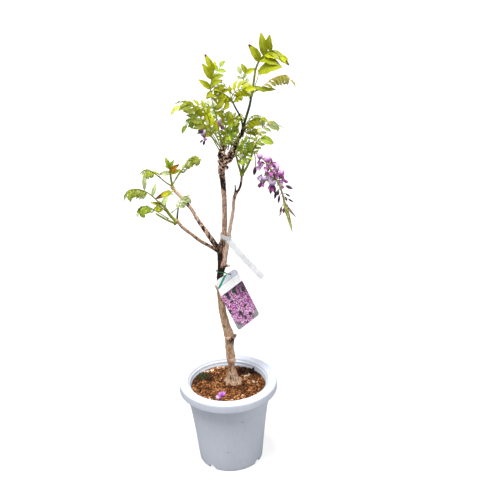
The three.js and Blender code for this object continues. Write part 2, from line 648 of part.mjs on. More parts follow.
    leaves: [
      { path: [[-100, -46, 548], [-111, -52, 561], [-120, -58, 571], [-132, -66, 581], [-144, -74, 585],
        [-152, -80, 582], [-156, -84, 575]], from: 0.2, pairs: 5, size: 19, ...COMB, seed: 391 },
      { path: [[-92, -42, 536], [-89, -34, 547], [-83, -26, 554], [-76, -18, 557]], from: 0.3, pairs: 3,
        size: 13, droop: 40, seed: 92 },
      { path: [[-83, -39, 519], [-95, -52, 528], [-107, -60, 538], [-117, -66, 544], [-127, -72, 545],
        [-134, -76, 541]], from: 0.4, pairs: 4, size: 18, ...COMB, droop: 60, seed: 1293 },
    ],
    blades: [
      { base: [-111, -52, 560], tip: [-106, -38, 578], width: 8, face: VIEW },
      { base: [-96, -44, 543], tip: [-108, -36, 548], width: 4.5, face: SKY },
    ],
  },
  {
    name: 'leaf_low_branch_pale',
    colour: 0xb4c77a,
    stems: [],
    leaves: [
      { path: [[-74, -34, 506], [-72, -28, 519], [-69, -20, 530], [-62, -12, 537], [-54, -6, 531]],
        from: 0.45, pairs: 4, size: 14, ...COMB, droop: 60, seed: 594 },
    ],
    blades: [],
  },
];

// The point of the given stems that lies nearest to a base.
function nearestOn(paths, base) {
  const target = vec(base);
  return paths
    .flatMap((path) => new THREE.CatmullRomCurve3(path.map(vec), false, 'centripetal').getSpacedPoints(60))
    .reduce((best, p) => (p.distanceTo(target) < best.distanceTo(target) ? p : best))
    .toArray();
}

function shoot({ stems, leaves, blades }) {
  const paths = [...stems, ...leaves.map(({ path }) => path)];
  const rooted = (plan) => {
    const foot = vec(nearestOn(paths, plan.base));
    const back = foot.clone().sub(vec(plan.tip)).setLength(SINK);
    return blade({ ...plan, base: foot.add(back).toArray() });
  };
  return fuse([
    ...stems.map((path) => rod(path, { sides: 5 })),
    ...leaves.map(leaf),
    ...blades.map(rooted),
  ]);
}

// ---------- flowers ----------

// A pea flower: pedicel, the round standard bent back, the boat of wings and keel.
function peaFlower({ from, at, out, size = 16, up = [0, -0.15, 1] }) {
  const heart = vec(at);
  const ahead = vec(out).normalize();
  const rise = vec(up);
  rise.addScaledVector(ahead, -rise.dot(ahead)).normalize();
  const point = (forward, lift) => heart.clone()
    .addScaledVector(ahead, forward * size)
    .addScaledVector(rise, lift * size)
    .toArray();
  return [
    rod([[...from, 0.7], [...at, 0.8]]),
    blade({ base: point(0, 0), tip: point(-0.08, 0.85), width: size, face: out, outline: STANDARD,
      fold: -0.12, arch: 0.08 }),
    spindle(point(-0.16, 0.02), point(0.75, -0.18), 0.19 * size, { belly: 0.6, flat: 0.75 }),
  ];
}

// A closed bud, whose pedicel runs a little way into it.
function bud({ from, at, tip, radius = 2 }) {
  const heart = vec(at).lerp(vec(tip), 0.2).toArray();
  return [rod([[...from, 0.6], [...at, 0.7], [...heart, 0.6]]), spindle(at, tip, radius)];
}

const RACEME = [
  [57, -34, 620, 1.2], [61, -36, 626, 1.5], [67, -42, 624, 1.6], [74, -46, 617, 1.7], [81, -48, 610, 1.7],
  [90, -50, 594, 1.7], [97, -52, 578, 1.6], [103, -53, 562, 1.5], [107, -55, 543, 1.5], [113, -57, 525, 3.4],
  [116, -58, 512, 2.6], [119, -58, 498, 1.6], [120, -58, 490, 0.7],
];
const RACEME_FLOWERS = [
  { from: [69, -43, 622], at: [71, -50, 616], out: [-0.5, -0.8, -0.35], size: 14 },
  { from: [76, -46, 615], at: [80, -57, 617], out: [0, -0.95, -0.2], size: 15 },
  { from: [77, -46, 614], at: [88, -41, 614], out: [0.7, 0.5, -0.1], size: 15 },
  { from: [84, -48, 605], at: [76, -58, 588], out: [-0.5, -0.75, -0.4], size: 17 },
  { from: [84, -48, 605], at: [78, -44, 586], out: [-0.75, 0.1, -0.6], size: 16 },
  { from: [92, -50, 590], at: [87, -60, 577], out: [-0.2, -0.8, -0.6], size: 17 },
  { from: [90, -50, 594], at: [98, -59, 597], out: [0.35, -0.9, -0.1], size: 15 },
  { from: [89, -50, 596], at: [98, -42, 592], out: [0.75, 0.6, -0.1], size: 15 },
  { from: [94, -51, 585], at: [101, -60, 584], out: [0.3, -0.9, -0.35], size: 15 },
  { from: [95, -51, 583], at: [107, -50, 580], out: [0.9, -0.2, -0.3], size: 15 },
  { from: [98, -52, 575], at: [102, -61, 571], out: [0.2, -0.85, -0.5], size: 14 },
  { from: [95, -51, 582], at: [92, -41, 572], out: [-0.3, 0.85, -0.4], size: 14 },
];
const RACEME_BUDS = [
  { from: [83, -48, 607], at: [90, -54, 609], tip: [96, -58, 606], radius: 2.2 },
  { from: [101, -53, 568], at: [110, -53, 571], tip: [120, -53, 566], radius: 2.4 },
  { from: [100, -53, 570], at: [95, -57, 561], tip: [92, -59, 549], radius: 2.5 },
  { from: [103, -53, 562], at: [100, -58, 554], tip: [98, -61, 542], radius: 2.3 },
  { from: [105, -54, 553], at: [110, -54, 550], tip: [113, -54, 542], radius: 2 },
  { from: [103, -53, 561], at: [111, -52, 555], tip: [119, -52, 549], radius: 1.6 },
  { from: [105, -54, 552], at: [115, -56, 547], tip: [124, -57, 541], radius: 1.6 },
  { from: [107, -55, 543], at: [103, -59, 534], tip: [100, -61, 522], radius: 1.8 },
  { from: [109, -56, 537], at: [107, -61, 532], tip: [106, -63, 524], radius: 2 },
  { from: [108, -55, 541], at: [115, -53, 530], tip: [123, -53, 516], radius: 1.9 },
  { from: [101, -53, 567], at: [99, -46, 558], tip: [98, -41, 547], radius: 2.2 },
];
// The lowest flower hangs by itself, half open.
function hangingFlower() {
  const heart = [60, -41, 599];
  return [
    rod([[60.5, -35.5, 625.5, 1], [61, -40, 612, 0.8], [...heart, 0.9]]),
    spindle(heart, [58, -42, 588], 2.8),
    blade({ base: heart, tip: [68, -42, 594], width: 7, face: VIEW, outline: STANDARD }),
  ];
}

const CONE = { buds: 12, from: 0.12, start: [107, -55, 541], end: [119, -58, 497] };

function racemeTip() {
  const [start, end] = [vec(CONE.start), vec(CONE.end)];
  const axis = end.clone().sub(start);
  const side = new THREE.Vector3().crossVectors(axis, vec([0, 1, 0])).normalize();
  const front = new THREE.Vector3().crossVectors(side, axis).normalize();
  return Array.from({ length: CONE.buds }, (_, k) => {
    const t = CONE.from + ((1 - CONE.from) * k) / CONE.buds;
    const turn = 2.4 * k;
    const out = side.clone().multiplyScalar(Math.cos(turn)).addScaledVector(front, Math.sin(turn));
    const root = start.clone().addScaledVector(axis, t);
    const girth = t < 0.4 ? 2 + 3 * t : 4.4 - 3 * t;
    return spindle(
      root.clone().addScaledVector(out, 0.4 * girth).toArray(),
      root.clone().addScaledVector(out, 1.35 * girth).addScaledVector(axis, 0.14).toArray(),
      1.8 - 0.8 * t,
      { sides: 3 },
    );
  });
}

// ---------- label, strap and tie ----------

const CARD_CORNER = [-6, -17, 346.5]; // where the picture's upper left corner hangs
const CARD_RIGHT = [0.77, 0.553, 0.317];
const CARD_DOWN = [0.381, 0, -0.925];
const CARD_HOLE = [34, 24];

// A point of the card: `a` to the right, `b` up from the picture's upper edge, `c` proud of it.
function onCard(a, b, c = 0) {
  const right = vec(CARD_RIGHT).normalize();
  const up = vec(CARD_DOWN).negate();
  up.addScaledVector(right, -up.dot(right)).normalize();
  const out = new THREE.Vector3().crossVectors(right, up);
  return vec(CARD_CORNER).addScaledVector(right, a).addScaledVector(up, b).addScaledVector(out, c);
}

function labelCard() {
  const { width, picture, header, thickness, hole } = CARD;
  const round = 5;
  const outline = new THREE.Shape()
    .moveTo(round, -picture)
    .lineTo(width - round, -picture)
    .quadraticCurveTo(width, -picture, width, round - picture)
    .lineTo(width, header - 10)
    .quadraticCurveTo(width, header - 3, width - 8, header - 2)
    .lineTo(12, header)
    .quadraticCurveTo(5, header, 3, header - 7)
    .lineTo(0, 0)
    .lineTo(0, round - picture)
    .quadraticCurveTo(0, -picture, round, -picture);
  outline.holes.push(new THREE.Path().absarc(CARD_HOLE[0], CARD_HOLE[1], hole, 0, 2 * Math.PI));
  const axes = new THREE.Matrix4().makeBasis(
    onCard(1, 0).sub(onCard(0, 0)), onCard(0, 1).sub(onCard(0, 0)), onCard(0, 0, 1).sub(onCard(0, 0)),
  ).setPosition(vec(CARD_CORNER));
  return solid(
    new THREE.ExtrudeGeometry(outline, { depth: thickness, bevelEnabled: false, curveSegments: 4 })
      .applyMatrix4(axes),
  );
}

// The outline of a belt drawn tight round two upright stems [x, y, radius], counterclockwise.
function belt(a, b) {
  const apart = Math.hypot(b[0] - a[0], b[1] - a[1]);
  const heading = Math.atan2(b[1] - a[1], b[0] - a[0]);
  const lean = Math.asin((b[2] - a[2]) / apart);
  const arc = ([x, y, r], from, to) => Array.from({ length: 7 }, (_, i) => {
    const turn = from + ((to - from) * i) / 6;
    return new THREE.Vector2(x + r * Math.cos(turn), y + r * Math.sin(turn));
  });
  const quarter = Math.PI / 2;
  return [
    ...arc(b, heading - quarter - lean, heading + quarter + lean),
    ...arc(a, heading + quarter + lean, heading + 3 * quarter - lean),
  ];
}

function labelStrap() {
  const [trunk, stem] = [[3.6, 2, 5.3], [12.6, -9.8, 4]];
  const grow = ([x, y, r], by) => [x, y, r + by];
  const loop = new THREE.Shape(belt(grow(trunk, GAP + STRAP.thickness), grow(stem, GAP + STRAP.thickness)));
  loop.holes.push(new THREE.Path(belt(grow(trunk, GAP), grow(stem, GAP)).reverse()));
  const ring = solid(new THREE.ExtrudeGeometry(loop, { depth: STRAP.height, bevelEnabled: false })
    .translate(0, 0, STRAP.z));
  const run = new THREE.CatmullRomCurve3([
    [12, -13.7, 456.5], [22, -16.5, 443], [38, -18.5, 422], [54, -19.5, 404], [69, -20, 386],
  ].map(vec));
  const corners = [];
  const faces = [];
  const steps = 5;
  for (let i = 0; i <= steps; i += 1) {
    const centre = run.getPoint(i / steps);
    const along = run.getTangent(i / steps);
    const out = vec([0.15, -0.9, 0.35]);
    out.addScaledVector(along, -out.dot(along)).normalize();
    const up = new THREE.Vector3().crossVectors(along, out);
    for (const [w, h] of [[-1, -1], [1, -1], [1, 1], [-1, 1]]) {
      corners.push(centre.clone()
        .addScaledVector(out, (w * STRAP.thickness) / 2)
        .addScaledVector(up, (h * STRAP.height) / 2));
    }
  }
  for (let i = 0; i < steps; i += 1) {
    for (let j = 0; j < 4; j += 1) {
      const [a, b] = [4 * i + j, 4 * i + ((j + 1) % 4)];
      faces.push([a, b, b + 4], [a, b + 4, a + 4]);
    }
  }
  const last = 4 * steps;
  faces.push([0, 2, 1], [0, 3, 2], [last, last + 1, last + 2], [last, last + 2, last + 3]);
  return ring.add(solid(geometryFrom(corners, faces)));
}

// The green wire passes through the card's hole and round the trunk above the card.
function labelTie() {
  const through = (c) => onCard(CARD_HOLE[0], CARD_HOLE[1] + 0.2, c).toArray();
  const loop = new THREE.CatmullRomCurve3([
    through(0.4), through(-4), [5, 8.6, 379], [-2, 9.4, 384], [-9, 6.6, 387], [-12, 0.5, 389],
    [-10.8, -4.8, 390], [-6, -7.6, 389.5], [1, -8, 388.4], [8, -7.4, 386], [12.8, -4.6, 383],
  ].map(vec), true, 'centripetal');
  const section = new THREE.Shape();
  for (let k = 0; k < 5; k += 1) {
    const turn = (2 * Math.PI * k) / 5;
    section[k ? 'lineTo' : 'moveTo'](TIE_R * Math.cos(turn), TIE_R * Math.sin(turn));
  }
  return solid(new THREE.ExtrudeGeometry(section, { steps: 24, bevelEnabled: false, extrudePath: loop }));
}

// ---------- litter on the soil ----------

const MOSS = { radius: 8, lift: 2, tufts: 8, spread: 7, thickness: 1.5 };

function mossTuft() {
  const random = seeded(21);
  const [x, y] = SOIL_LITTER[1];
  const ground = soilTop(x, y);
  const bed = solid(new THREE.IcosahedronGeometry(MOSS.radius, 0)
    .scale(1.1, 0.8, 0.32)
    .translate(x, y, ground + MOSS.lift));
  const tufts = Array.from({ length: MOSS.tufts }, (_, k) => {
    const [reach, turn] = [MOSS.spread * Math.sqrt(random()), 2.4 * k];
    const [u, v] = [x + reach * Math.cos(turn), y + 0.8 * reach * Math.sin(turn)];
    const tip = [u + 4 * random() - 2, v - 2 * random(), ground + 6.4 + 4 * random()];
    return spindle([u, v, ground + 1.4], tip, MOSS.thickness, { sides: 3 });
  });
  return fuse([bed, ...tufts]);
}

function deadLeaf() {
  const z = soilTop(46, 42);
  return fuse([
    blade({ base: [38, 36, z + 2.4], tip: [52, 40, z + 3.4], width: 9, face: [0, 0, 1], fold: 0.3 }),
    blade({ base: [40, 37, z + 2.6], tip: [48, 44, z + 12], width: 7, face: [0.3, -1, 0.3] }),
  ]);
}

function fallenFlower() {
  const z = soilTop(-19, -42);
  return fuse([
    blade({ base: [-14, -39, z + 0.4], tip: [-27, -45, z + 0.6], width: 11, face: [0, 0, 1],
      outline: STANDARD, fold: 0.2, arch: 0.05 }),
    spindle([-12, -38, z + 1], [-20, -41, z + 2.6], 2.2),
  ]);
}

// ---------- assembly ----------

const plant = new THREE.Group();

function place(name, manifold, color, roughness = 0.6, extra = {}) {
  const material = new THREE.MeshStandardMaterial({ color, roughness, metalness: 0, ...extra });
  const mesh = new THREE.Mesh(geometryOf(manifold), material);
  mesh.name = name;
  plant.add(mesh);
}

const stemSolid = wood();
const stemSeat = wood(GAP);
const paleShoots = SHOOTS.find(({ name }) => name === 'shoots_pale_stem');
const tallShoot = SHOOTS.find(({ name }) => name === 'shoot_tall');
const seatOn = ({ stems, leaves }) => fuse([
  ...stems.map((path) => rod(path, { sides: 5, extra: GAP })),
  ...leaves.map(({ path }) => rod(path.map((p) => [...p, 0.9 + GAP]), { sides: 6 })),
]);

place('pot', pot(), 0xdfe6f0, 0.45);
place('soil', soil(), 0x7a4a26, 0.95);
place('woody_stem', stemSolid, 0xa0805c, 0.85);
for (const plan of SHOOTS) {
  place(plan.name, largest(shoot(plan).subtract(stemSeat)), plan.colour, 0.55);
}

const raceme = fuse([
  rod(RACEME, { sides: 5 }),
  ...RACEME_FLOWERS.flatMap((plan) => peaFlower({ ...plan, from: nearestOn([RACEME], plan.from) })),
  ...RACEME_BUDS.flatMap((plan) => bud({ ...plan, from: nearestOn([RACEME], plan.from) })),
  ...racemeTip(),
  ...hangingFlower(),
]);
place('raceme', largest(raceme.subtract(seatOn(paleShoots))), 0xb77cc8, 0.6);

place('raceme_small', largest(fuse([
  rod([[5, -3, 613, 1.1], [0, -15, 628, 1], [-6, -21, 642, 1], [-12, -24, 648, 0.9], [-18, -26, 641, 0.8]]),
  ...peaFlower({ from: [-13, -24, 647], at: [-18, -27, 651], out: [-0.8, -0.5, -0.1], size: 14 }),
  ...bud({ from: [-17, -26, 642], at: [-18, -26, 640], tip: [-21, -27, 633], radius: 2.2 }),
  ...bud({ from: [-16, -25, 645], at: [-22, -26, 642], tip: [-27, -27, 641], radius: 1.8 }),
]).subtract(stemSeat)), 0xa868ae, 0.6);

place('flower_single', largest(fuse(
  peaFlower({ from: [1.6, -8, 671], at: [5, -14, 669], out: [0.8, -0.5, -0.3], size: 12 }),
).subtract(seatOn(tallShoot))), 0xa24f9f, 0.6);

place('label_card', labelCard(), 0x9a6fb0, 0.35);
place('label_strap', labelStrap(), 0xe6e9ea, 0.3, { transparent: true, opacity: 0.6 });
place('label_tie', labelTie(), 0x2f8a4a, 0.5);
place('moss_tuft', mossTuft(), 0x5f7d2c, 0.9);
place('dead_leaf', deadLeaf(), 0x5a3c28, 0.9);
place('fallen_flower', fallenFlower(), 0x9a7fc0, 0.6);

export default plant;
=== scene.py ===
# A young grafted wisteria in a white plastic pot, with its nursery label.
# Sizes are in millimetres; build() turns them into metres. +Z is up, and -Y is the front.

import math

import bmesh
import bpy
import numpy as np
from mathutils import Matrix, Vector, kdtree, noise


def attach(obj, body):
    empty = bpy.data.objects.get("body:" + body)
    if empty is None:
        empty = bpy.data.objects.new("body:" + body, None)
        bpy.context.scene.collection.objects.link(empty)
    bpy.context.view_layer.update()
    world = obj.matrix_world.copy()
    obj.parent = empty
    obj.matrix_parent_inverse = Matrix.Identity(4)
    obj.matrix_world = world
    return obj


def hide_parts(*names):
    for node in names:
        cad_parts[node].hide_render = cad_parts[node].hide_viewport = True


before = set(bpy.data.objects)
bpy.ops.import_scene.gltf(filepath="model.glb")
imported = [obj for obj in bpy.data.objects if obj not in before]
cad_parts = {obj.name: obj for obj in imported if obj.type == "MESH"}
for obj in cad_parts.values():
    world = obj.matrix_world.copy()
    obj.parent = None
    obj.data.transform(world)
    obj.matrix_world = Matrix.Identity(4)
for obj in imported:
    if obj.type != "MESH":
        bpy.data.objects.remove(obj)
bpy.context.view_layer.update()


# ---------- pot ----------
# One injection-moulded pot of white polypropylene, satin rather than glossy. A flat rim turns
# out and down, the lip steps in twice, and four arched drain slots are cut in the foot ring.

MM = 0.001

RIM_RADIUS = 90
POT_HEIGHT = 164.5
MOUTH_RADIUS = 73.5
FOOT_RADIUS = 58.6
POT_SIDES = 168
SOFT_EDGE = 0.9
WALL_RISE = 117  # the wall leans out up to here, where the stacking shoulder begins
WALL_LEAN = 11.8
WALL_FLARE = 2
SLOT = {"radius": 8, "below": 3, "inner": 48, "outer": 62, "turns": (-37, 56, 143, 236)}
DRAIN = {"radius": 4, "out": 38, "z": 9, "depth": 12, "turns": (9, 99, 189, 279)}
RIBS = 130  # fine streaks that the mould leaves down the wall, below the rim
EJECTOR_MARKS = [(20, 114.5, 1.9), (-5, 46, 2.2)]  # degrees from the front, height, radius
WALL_SLOPE = 4.8  # degrees


def tint(red, green, blue):
    """A colour as it looks on a screen, 0 to 255, in the shader's linear numbers."""
    return tuple((c / 255 / 12.92) if c < 11 else ((c / 255 + 0.055) / 1.055) ** 2.4
                 for c in (red, green, blue))


def placed(name, data):
    """An object of a mesh, a lamp or a camera, put in the scene."""
    piece = bpy.data.objects.new(name, data)
    bpy.context.scene.collection.objects.link(piece)
    return piece


def build(name, points, faces, materials, finishes=None, attributes=None, crease=45):
    """A mesh object from points in millimetres; edges sharper than `crease` degrees stay crisp."""
    mesh = bpy.data.meshes.new(name)
    mesh.from_pydata((np.asarray(points, float) * MM).tolist(), [], [list(f) for f in faces])
    for material in materials:
        mesh.materials.append(material)
    if finishes is not None:
        mesh.polygons.foreach_set("material_index", np.asarray(finishes, np.int32))
    for key, values in (attributes or {}).items():
        rows = np.asarray(values, np.float32)
        kind, field = ("FLOAT_VECTOR", "vector") if rows.ndim == 2 else ("FLOAT", "value")
        mesh.attributes.new(key, kind, "POINT").data.foreach_set(field, rows.ravel())
    shell = bmesh.new()
    shell.from_mesh(mesh)
    bmesh.ops.recalc_face_normals(shell, faces=shell.faces)
    shell.to_mesh(mesh)
    shell.free()
    mesh.shade_smooth()
    mesh.set_sharp_from_angle(angle=math.radians(crease))
    return placed(name, mesh)


def fit(piece, slot, *nodes):
    """The piece rides on the one body and stands for CAD nodes, whose parts it hides. The slot is not used.
    """
    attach(piece, "root")
    if nodes:
        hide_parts(*nodes)


def applied(piece):
    """Turns a piece's modifiers into its mesh."""
    graph = bpy.context.evaluated_depsgraph_get()
    shape = bpy.data.meshes.new_from_object(piece.evaluated_get(graph), depsgraph=graph)
    piece.modifiers.clear()
    piece.data = shape


def bend(start, corner, end, steps):
    """Points of the smooth curve that rounds a corner."""
    start, corner, end = Vector(start), Vector(corner), Vector(end)
    return [start * (1 - t) ** 2 + corner * 2 * t * (1 - t) + end * t * t
            for t in (k / steps for k in range(steps + 1))]


def rounded(outline, radius, steps=3):
    """The outline with each inner corner turned into a small curve."""
    path = [Vector(p) for p in outline]
    result = [path[0]]
    for before, corner, after in zip(path, path[1:], path[2:]):
        back, on = before - corner, after - corner
        result += bend(corner + back.normalized() * min(radius, 0.45 * back.length), corner,
                       corner + on.normalized() * min(radius, 0.45 * on.length), steps)
    return result + [path[-1]]


def wall_radius(z):
    """Outer radius of the tapered wall, which flares a little towards the shoulder."""
    t = (z - 2) / (WALL_RISE - 2)
    return FOOT_RADIUS + WALL_LEAN * t + WALL_FLARE * t ** 3


def circle(count, radius=1.0):
    """Points evenly round a circle."""
    turns = [2 * math.pi * k / count for k in range(count)]
    return [(radius * math.cos(turn), radius * math.sin(turn)) for turn in turns]


def joined(low, high):
    """Faces between two closed rings of point numbers; a ring may be one point, repeated."""
    rows = zip(low, [*low[1:], low[0]], [*high[1:], high[0]], high)
    return [tuple(dict.fromkeys(corners)) for corners in rows]


def wrapped(rings):
    """Faces over a row of closed rings."""
    return [face for low, high in zip(rings, rings[1:]) for face in joined(low, high)]


def turned(outline, sides):
    """Points and faces of an outline [(radius, height)] turned about the Z axis."""
    points, rings = [], []
    for r, z in outline:
        flat = r < 1e-6
        rings.append([len(points)] * sides if flat else list(range(len(points), len(points) + sides)))
        points += [(0, 0, z)] if flat else [(x, y, z) for x, y in circle(sides, r)]
    return points, wrapped(rings)


class Wire:
    """An output of a shader node. Reckoning with it places Math nodes."""

    def __init__(self, socket):
        self.socket = socket

    def place(self, kind, inputs, **settings):
        return node(self.socket.id_data, kind, inputs, **settings)

    def maths(self, operation, *others):
        return self.place("Math", dict(enumerate((self, *others))), operation=operation)[0]

    def __add__(self, other):
        return self.maths("ADD", other)

    def __sub__(self, other):
        return self.maths("SUBTRACT", other)

    def __mul__(self, other):
        return self.maths("MULTIPLY", other)

    def __abs__(self):
        return self.maths("ABSOLUTE")

    def held(self):
        """The same sum, held between 0 and 1."""
        self.socket.node.use_clamp = True
        return self

    def mix(self, first, second):
        """The colour that lies this far between two colours."""
        return self.place("Mix", {0: self, 6: first, 7: second}, data_type="RGBA")[2]

    def between(self, low, high, start=0.0, end=1.0):
        """Its place between low and high, smoothed and held at the ends."""
        inputs = {0: self, 1: low, 2: high, 3: start, 4: end}
        return self.place("MapRange", inputs, interpolation_type="SMOOTHSTEP")[0]

    def bump(self, strength, distance):
        """A normal that this height raises by up to that many millimetres."""
        return self.place("Bump", {"Height": self, "Strength": strength, "Distance": distance * MM})[0]


def feed(socket, value):
    """Links a socket to another node's output, or sets it to a number or a colour."""
    if isinstance(value, Wire):
        socket.id_data.links.new(value.socket, socket)
    else:
        socket.default_value = (*value[:3], 1) if socket.type == "RGBA" else value


def wires(outputs):
    """A node's outputs, by number and by name."""
    return {key: Wire(socket) for k, socket in enumerate(outputs) for key in (k, socket.name)}


def node(tree, kind, inputs=None, **settings):
    """Places a shader node, sets it, feeds its inputs, and gives its outputs."""
    made = tree.nodes.new("ShaderNode" + kind)
    for key, value in settings.items():
        setattr(made, key, value)
    for key, value in (inputs or {}).items():
        feed(made.inputs[key], value)
    return wires(made.outputs)


def axes(tree, vector):
    """The three numbers of a vector."""
    parts = node(tree, "SeparateXYZ", {0: vector})
    return parts[0], parts[1], parts[2]


def group(name, inputs):
    """A node group that gives a colour and a height, with its given values and its outputs."""
    tree = bpy.data.node_groups.new(name, "ShaderNodeTree")
    for key, value in inputs.items():
        colour = isinstance(value, tuple)
        kind = "NodeSocketColor" if colour else "NodeSocketFloat"
        socket = tree.interface.new_socket(key, in_out="INPUT", socket_type=kind)
        socket.default_value = (*value, 1) if colour else value
    tree.interface.new_socket("Color", in_out="OUTPUT", socket_type="NodeSocketColor")
    tree.interface.new_socket("Height", in_out="OUTPUT", socket_type="NodeSocketFloat")
    given = wires(tree.nodes.new("NodeGroupInput").outputs)
    return tree, given, tree.nodes.new("NodeGroupOutput").inputs


def blank(name, colour, roughness, **sockets):
    """A material with its Principled shader, and the values that are the same all over."""
    material = bpy.data.materials.new(name)
    material.use_nodes = True
    shader = material.node_tree.nodes["Principled BSDF"].inputs
    feed(shader["Base Color"], colour)
    feed(shader["Roughness"], roughness)
    for key, value in sockets.items():
        feed(shader[key.replace("_", " ")], value)
    return material, material.node_tree, shader


# The group lays uneven patches of a second colour over the first. Stretch below 1 draws them
# out along Z, and Height rises with the patches.
mottle, given, out = group(
    "mottle",
    {"Base": (1, 1, 1), "Other": (0, 0, 0), "Scale": 100.0, "Stretch": 1.0, "Contrast": 2.0},
)
place = node(mottle, "TexCoord")["Object"]
squeeze = node(mottle, "CombineXYZ", {0: 1.0, 1: 1.0, 2: given["Stretch"]})[0]
place = node(mottle, "VectorMath", {0: place, 1: squeeze}, operation="MULTIPLY")[0]
patches = node(mottle, "TexNoise", {"Vector": place, "Scale": given["Scale"], "Detail": 5.0,
                                    "Roughness": 0.62})[0]
patches = ((patches - 0.5) * given["Contrast"] + 0.5).held()
feed(out["Color"], patches.mix(given["Base"], given["Other"]))
feed(out["Height"], patches)


def mottled(tree, scale, contrast=2.0, stretch=1.0, base=(1, 1, 1), other=(0, 0, 0)):
    """The patches, laid in a material or a group."""
    inputs = {"Base": base, "Other": other, "Scale": scale, "Stretch": stretch, "Contrast": contrast}
    return node(tree, "Group", inputs, node_tree=mottle)


pot_plastic, tree, shader = blank("pot_plastic", (1, 1, 1), 0.42, Coat_Weight=0.12)
cloudy = mottled(tree, 26.0, 2.2, 0.35, tint(214, 219, 229), tint(205, 211, 223))["Color"]
streaks = mottled(tree, 420.0, 3.0, 0.03, (1, 1, 1), tint(246, 247, 249))["Color"]
worn = node(tree, "Mix", {0: 1.0, 6: cloudy, 7: streaks}, data_type="RGBA", blend_type="MULTIPLY")
feed(shader["Base Color"], worn[2])
grain = mottled(tree, 900.0, 1.4)["Height"]
feed(shader["Roughness"], grain.between(0.0, 1.0, 0.36, 0.5))
x, y, z = axes(tree, node(tree, "TexCoord")["Object"])
ribs = (x.maths("ARCTAN2", y) * RIBS).maths("SINE") * z.between(0.112, 0.098)
feed(shader["Normal"], (grain * 0.3 + ribs).bump(0.6, 0.06))

outline = [(0, 0), (22, 0), (23.5, 7), (54, 7), (54.5, 0), (57, 0)]
outline += [(wall_radius(z), z) for z in (2, 7, 9, 11, 25, 45, 65, 85, 101, WALL_RISE)]
outline += [(73.6, 119.5), (74.2, 146), (88, 146), (RIM_RADIUS, 148.5),
            (RIM_RADIUS, POT_HEIGHT - 2), (88.8, POT_HEIGHT), (MOUTH_RADIUS, POT_HEIGHT),
            (72.5, POT_HEIGHT - 3.5), (70.3, POT_HEIGHT - 4.2), (69.9, POT_HEIGHT - 9.5),
            (68.9, POT_HEIGHT - 10.2), (56, 9.4), (24, 9.4), (21, 2.4), (0, 2.4)]
pot = build("pot_shell", *turned(rounded(outline, SOFT_EDGE), POT_SIDES), [pot_plastic], crease=35)

cuts = bmesh.new()
half_circle = [math.pi * k / 16 for k in range(17)]
arch = [(SLOT["radius"] * math.cos(t), SLOT["radius"] * math.sin(t)) for t in half_circle]
arch += [(-SLOT["radius"], -SLOT["below"]), (SLOT["radius"], -SLOT["below"])]
for angle in SLOT["turns"]:
    turn = Matrix.Rotation(math.radians(angle), 4, "Z")
    inner, outer = ([cuts.verts.new(turn @ Vector((x, -reach, z)) * MM) for x, z in arch]
                    for reach in (SLOT["inner"], SLOT["outer"]))
    cuts.faces.new(inner)
    cuts.faces.new(outer[::-1])
    for k in range(len(arch)):
        cuts.faces.new((inner[k - 1], inner[k], outer[k], outer[k - 1]))
for angle in DRAIN["turns"]:
    turn = Matrix.Rotation(math.radians(angle), 4, "Z")
    spot = turn @ Matrix.Translation(Vector((DRAIN["out"], 0, DRAIN["z"])) * MM)
    bmesh.ops.create_cone(cuts, cap_ends=True, segments=24, radius1=DRAIN["radius"] * MM,
                          radius2=DRAIN["radius"] * MM, depth=DRAIN["depth"] * MM, matrix=spot)
bmesh.ops.recalc_face_normals(cuts, faces=cuts.faces)
cutter = placed("slot_cutter", bpy.data.meshes.new("slot_cutter"))
cuts.to_mesh(cutter.data)
cuts.free()
modifier = pot.modifiers.new("slots", "BOOLEAN")
modifier.operation = "DIFFERENCE"
modifier.object = cutter
applied(pot)
bpy.data.objects.remove(cutter)
fit(pot, "pot_plastic", "pot")

# Two small round marks where ejector pins pressed on the wall.
pressed, tree, shader = blank("pot_pressed", tint(182, 188, 200), 0.5)
for k, (angle, height, radius) in enumerate(EJECTOR_MARKS):
    outline = [(0, 0.2), (radius - 0.7, 0.2), (radius - 0.5, 0.5), (radius, 0.45), (radius + 0.2, -0.6),
               (0, -0.6)]
    mark = build(f"ejector_mark_{k + 1}", *turned(rounded(outline, 0.15, 2), 28), [pressed])
    spot = Matrix.Translation(Vector((0, -wall_radius(height), height)) * MM)
    tilt = Matrix.Rotation(math.radians(90 + WALL_SLOPE), 4, "X")
    mark.data.transform(Matrix.Rotation(math.radians(angle), 4, "Z") @ spot @ tilt)
    fit(mark, "pot_plastic")


# ---------- soil ----------
# Loose potting mix of baked clay crumbs and shredded bark, orange brown and moist. It was
# filled in by hand to about a finger's width below the rim, and closes round the trunk.

SOIL_Z = 151.5
SOIL_RADIUS = 68.6
TRUNK_FOOT = (9, 12)
CRUMBS = {"count": 1300, "smallest": 0.6, "range": 1.5}
CHIPS = {"count": 3000, "shortest": 1.8, "range": 4.6}
PALE_CHIPS = [(-30, 52, 6), (-13, 62, 7), (29, 26, 6), (49, 8, 7), (36, 30, 5), (-41, 47, 5)]
PALE_CHIPS_EACH = 10
SCATTER_RADIUS = 66.5
FLARE_RADIUS = 15  # no loose crumb lies this close to the trunk's middle
FULL_TURN = 6.2832


def seeded(seed):
    """The same draw every time for the same seed."""
    state = seed

    def draw():
        nonlocal state
        state = (state + 0x6D2B79F5) & 0xFFFFFFFF
        t = ((state ^ state >> 15) * (1 | state)) & 0xFFFFFFFF
        t = ((t + ((t ^ t >> 7) * (61 | t) & 0xFFFFFFFF)) ^ t) & 0xFFFFFFFF
        return (t ^ t >> 14) / 4294967296
    return draw


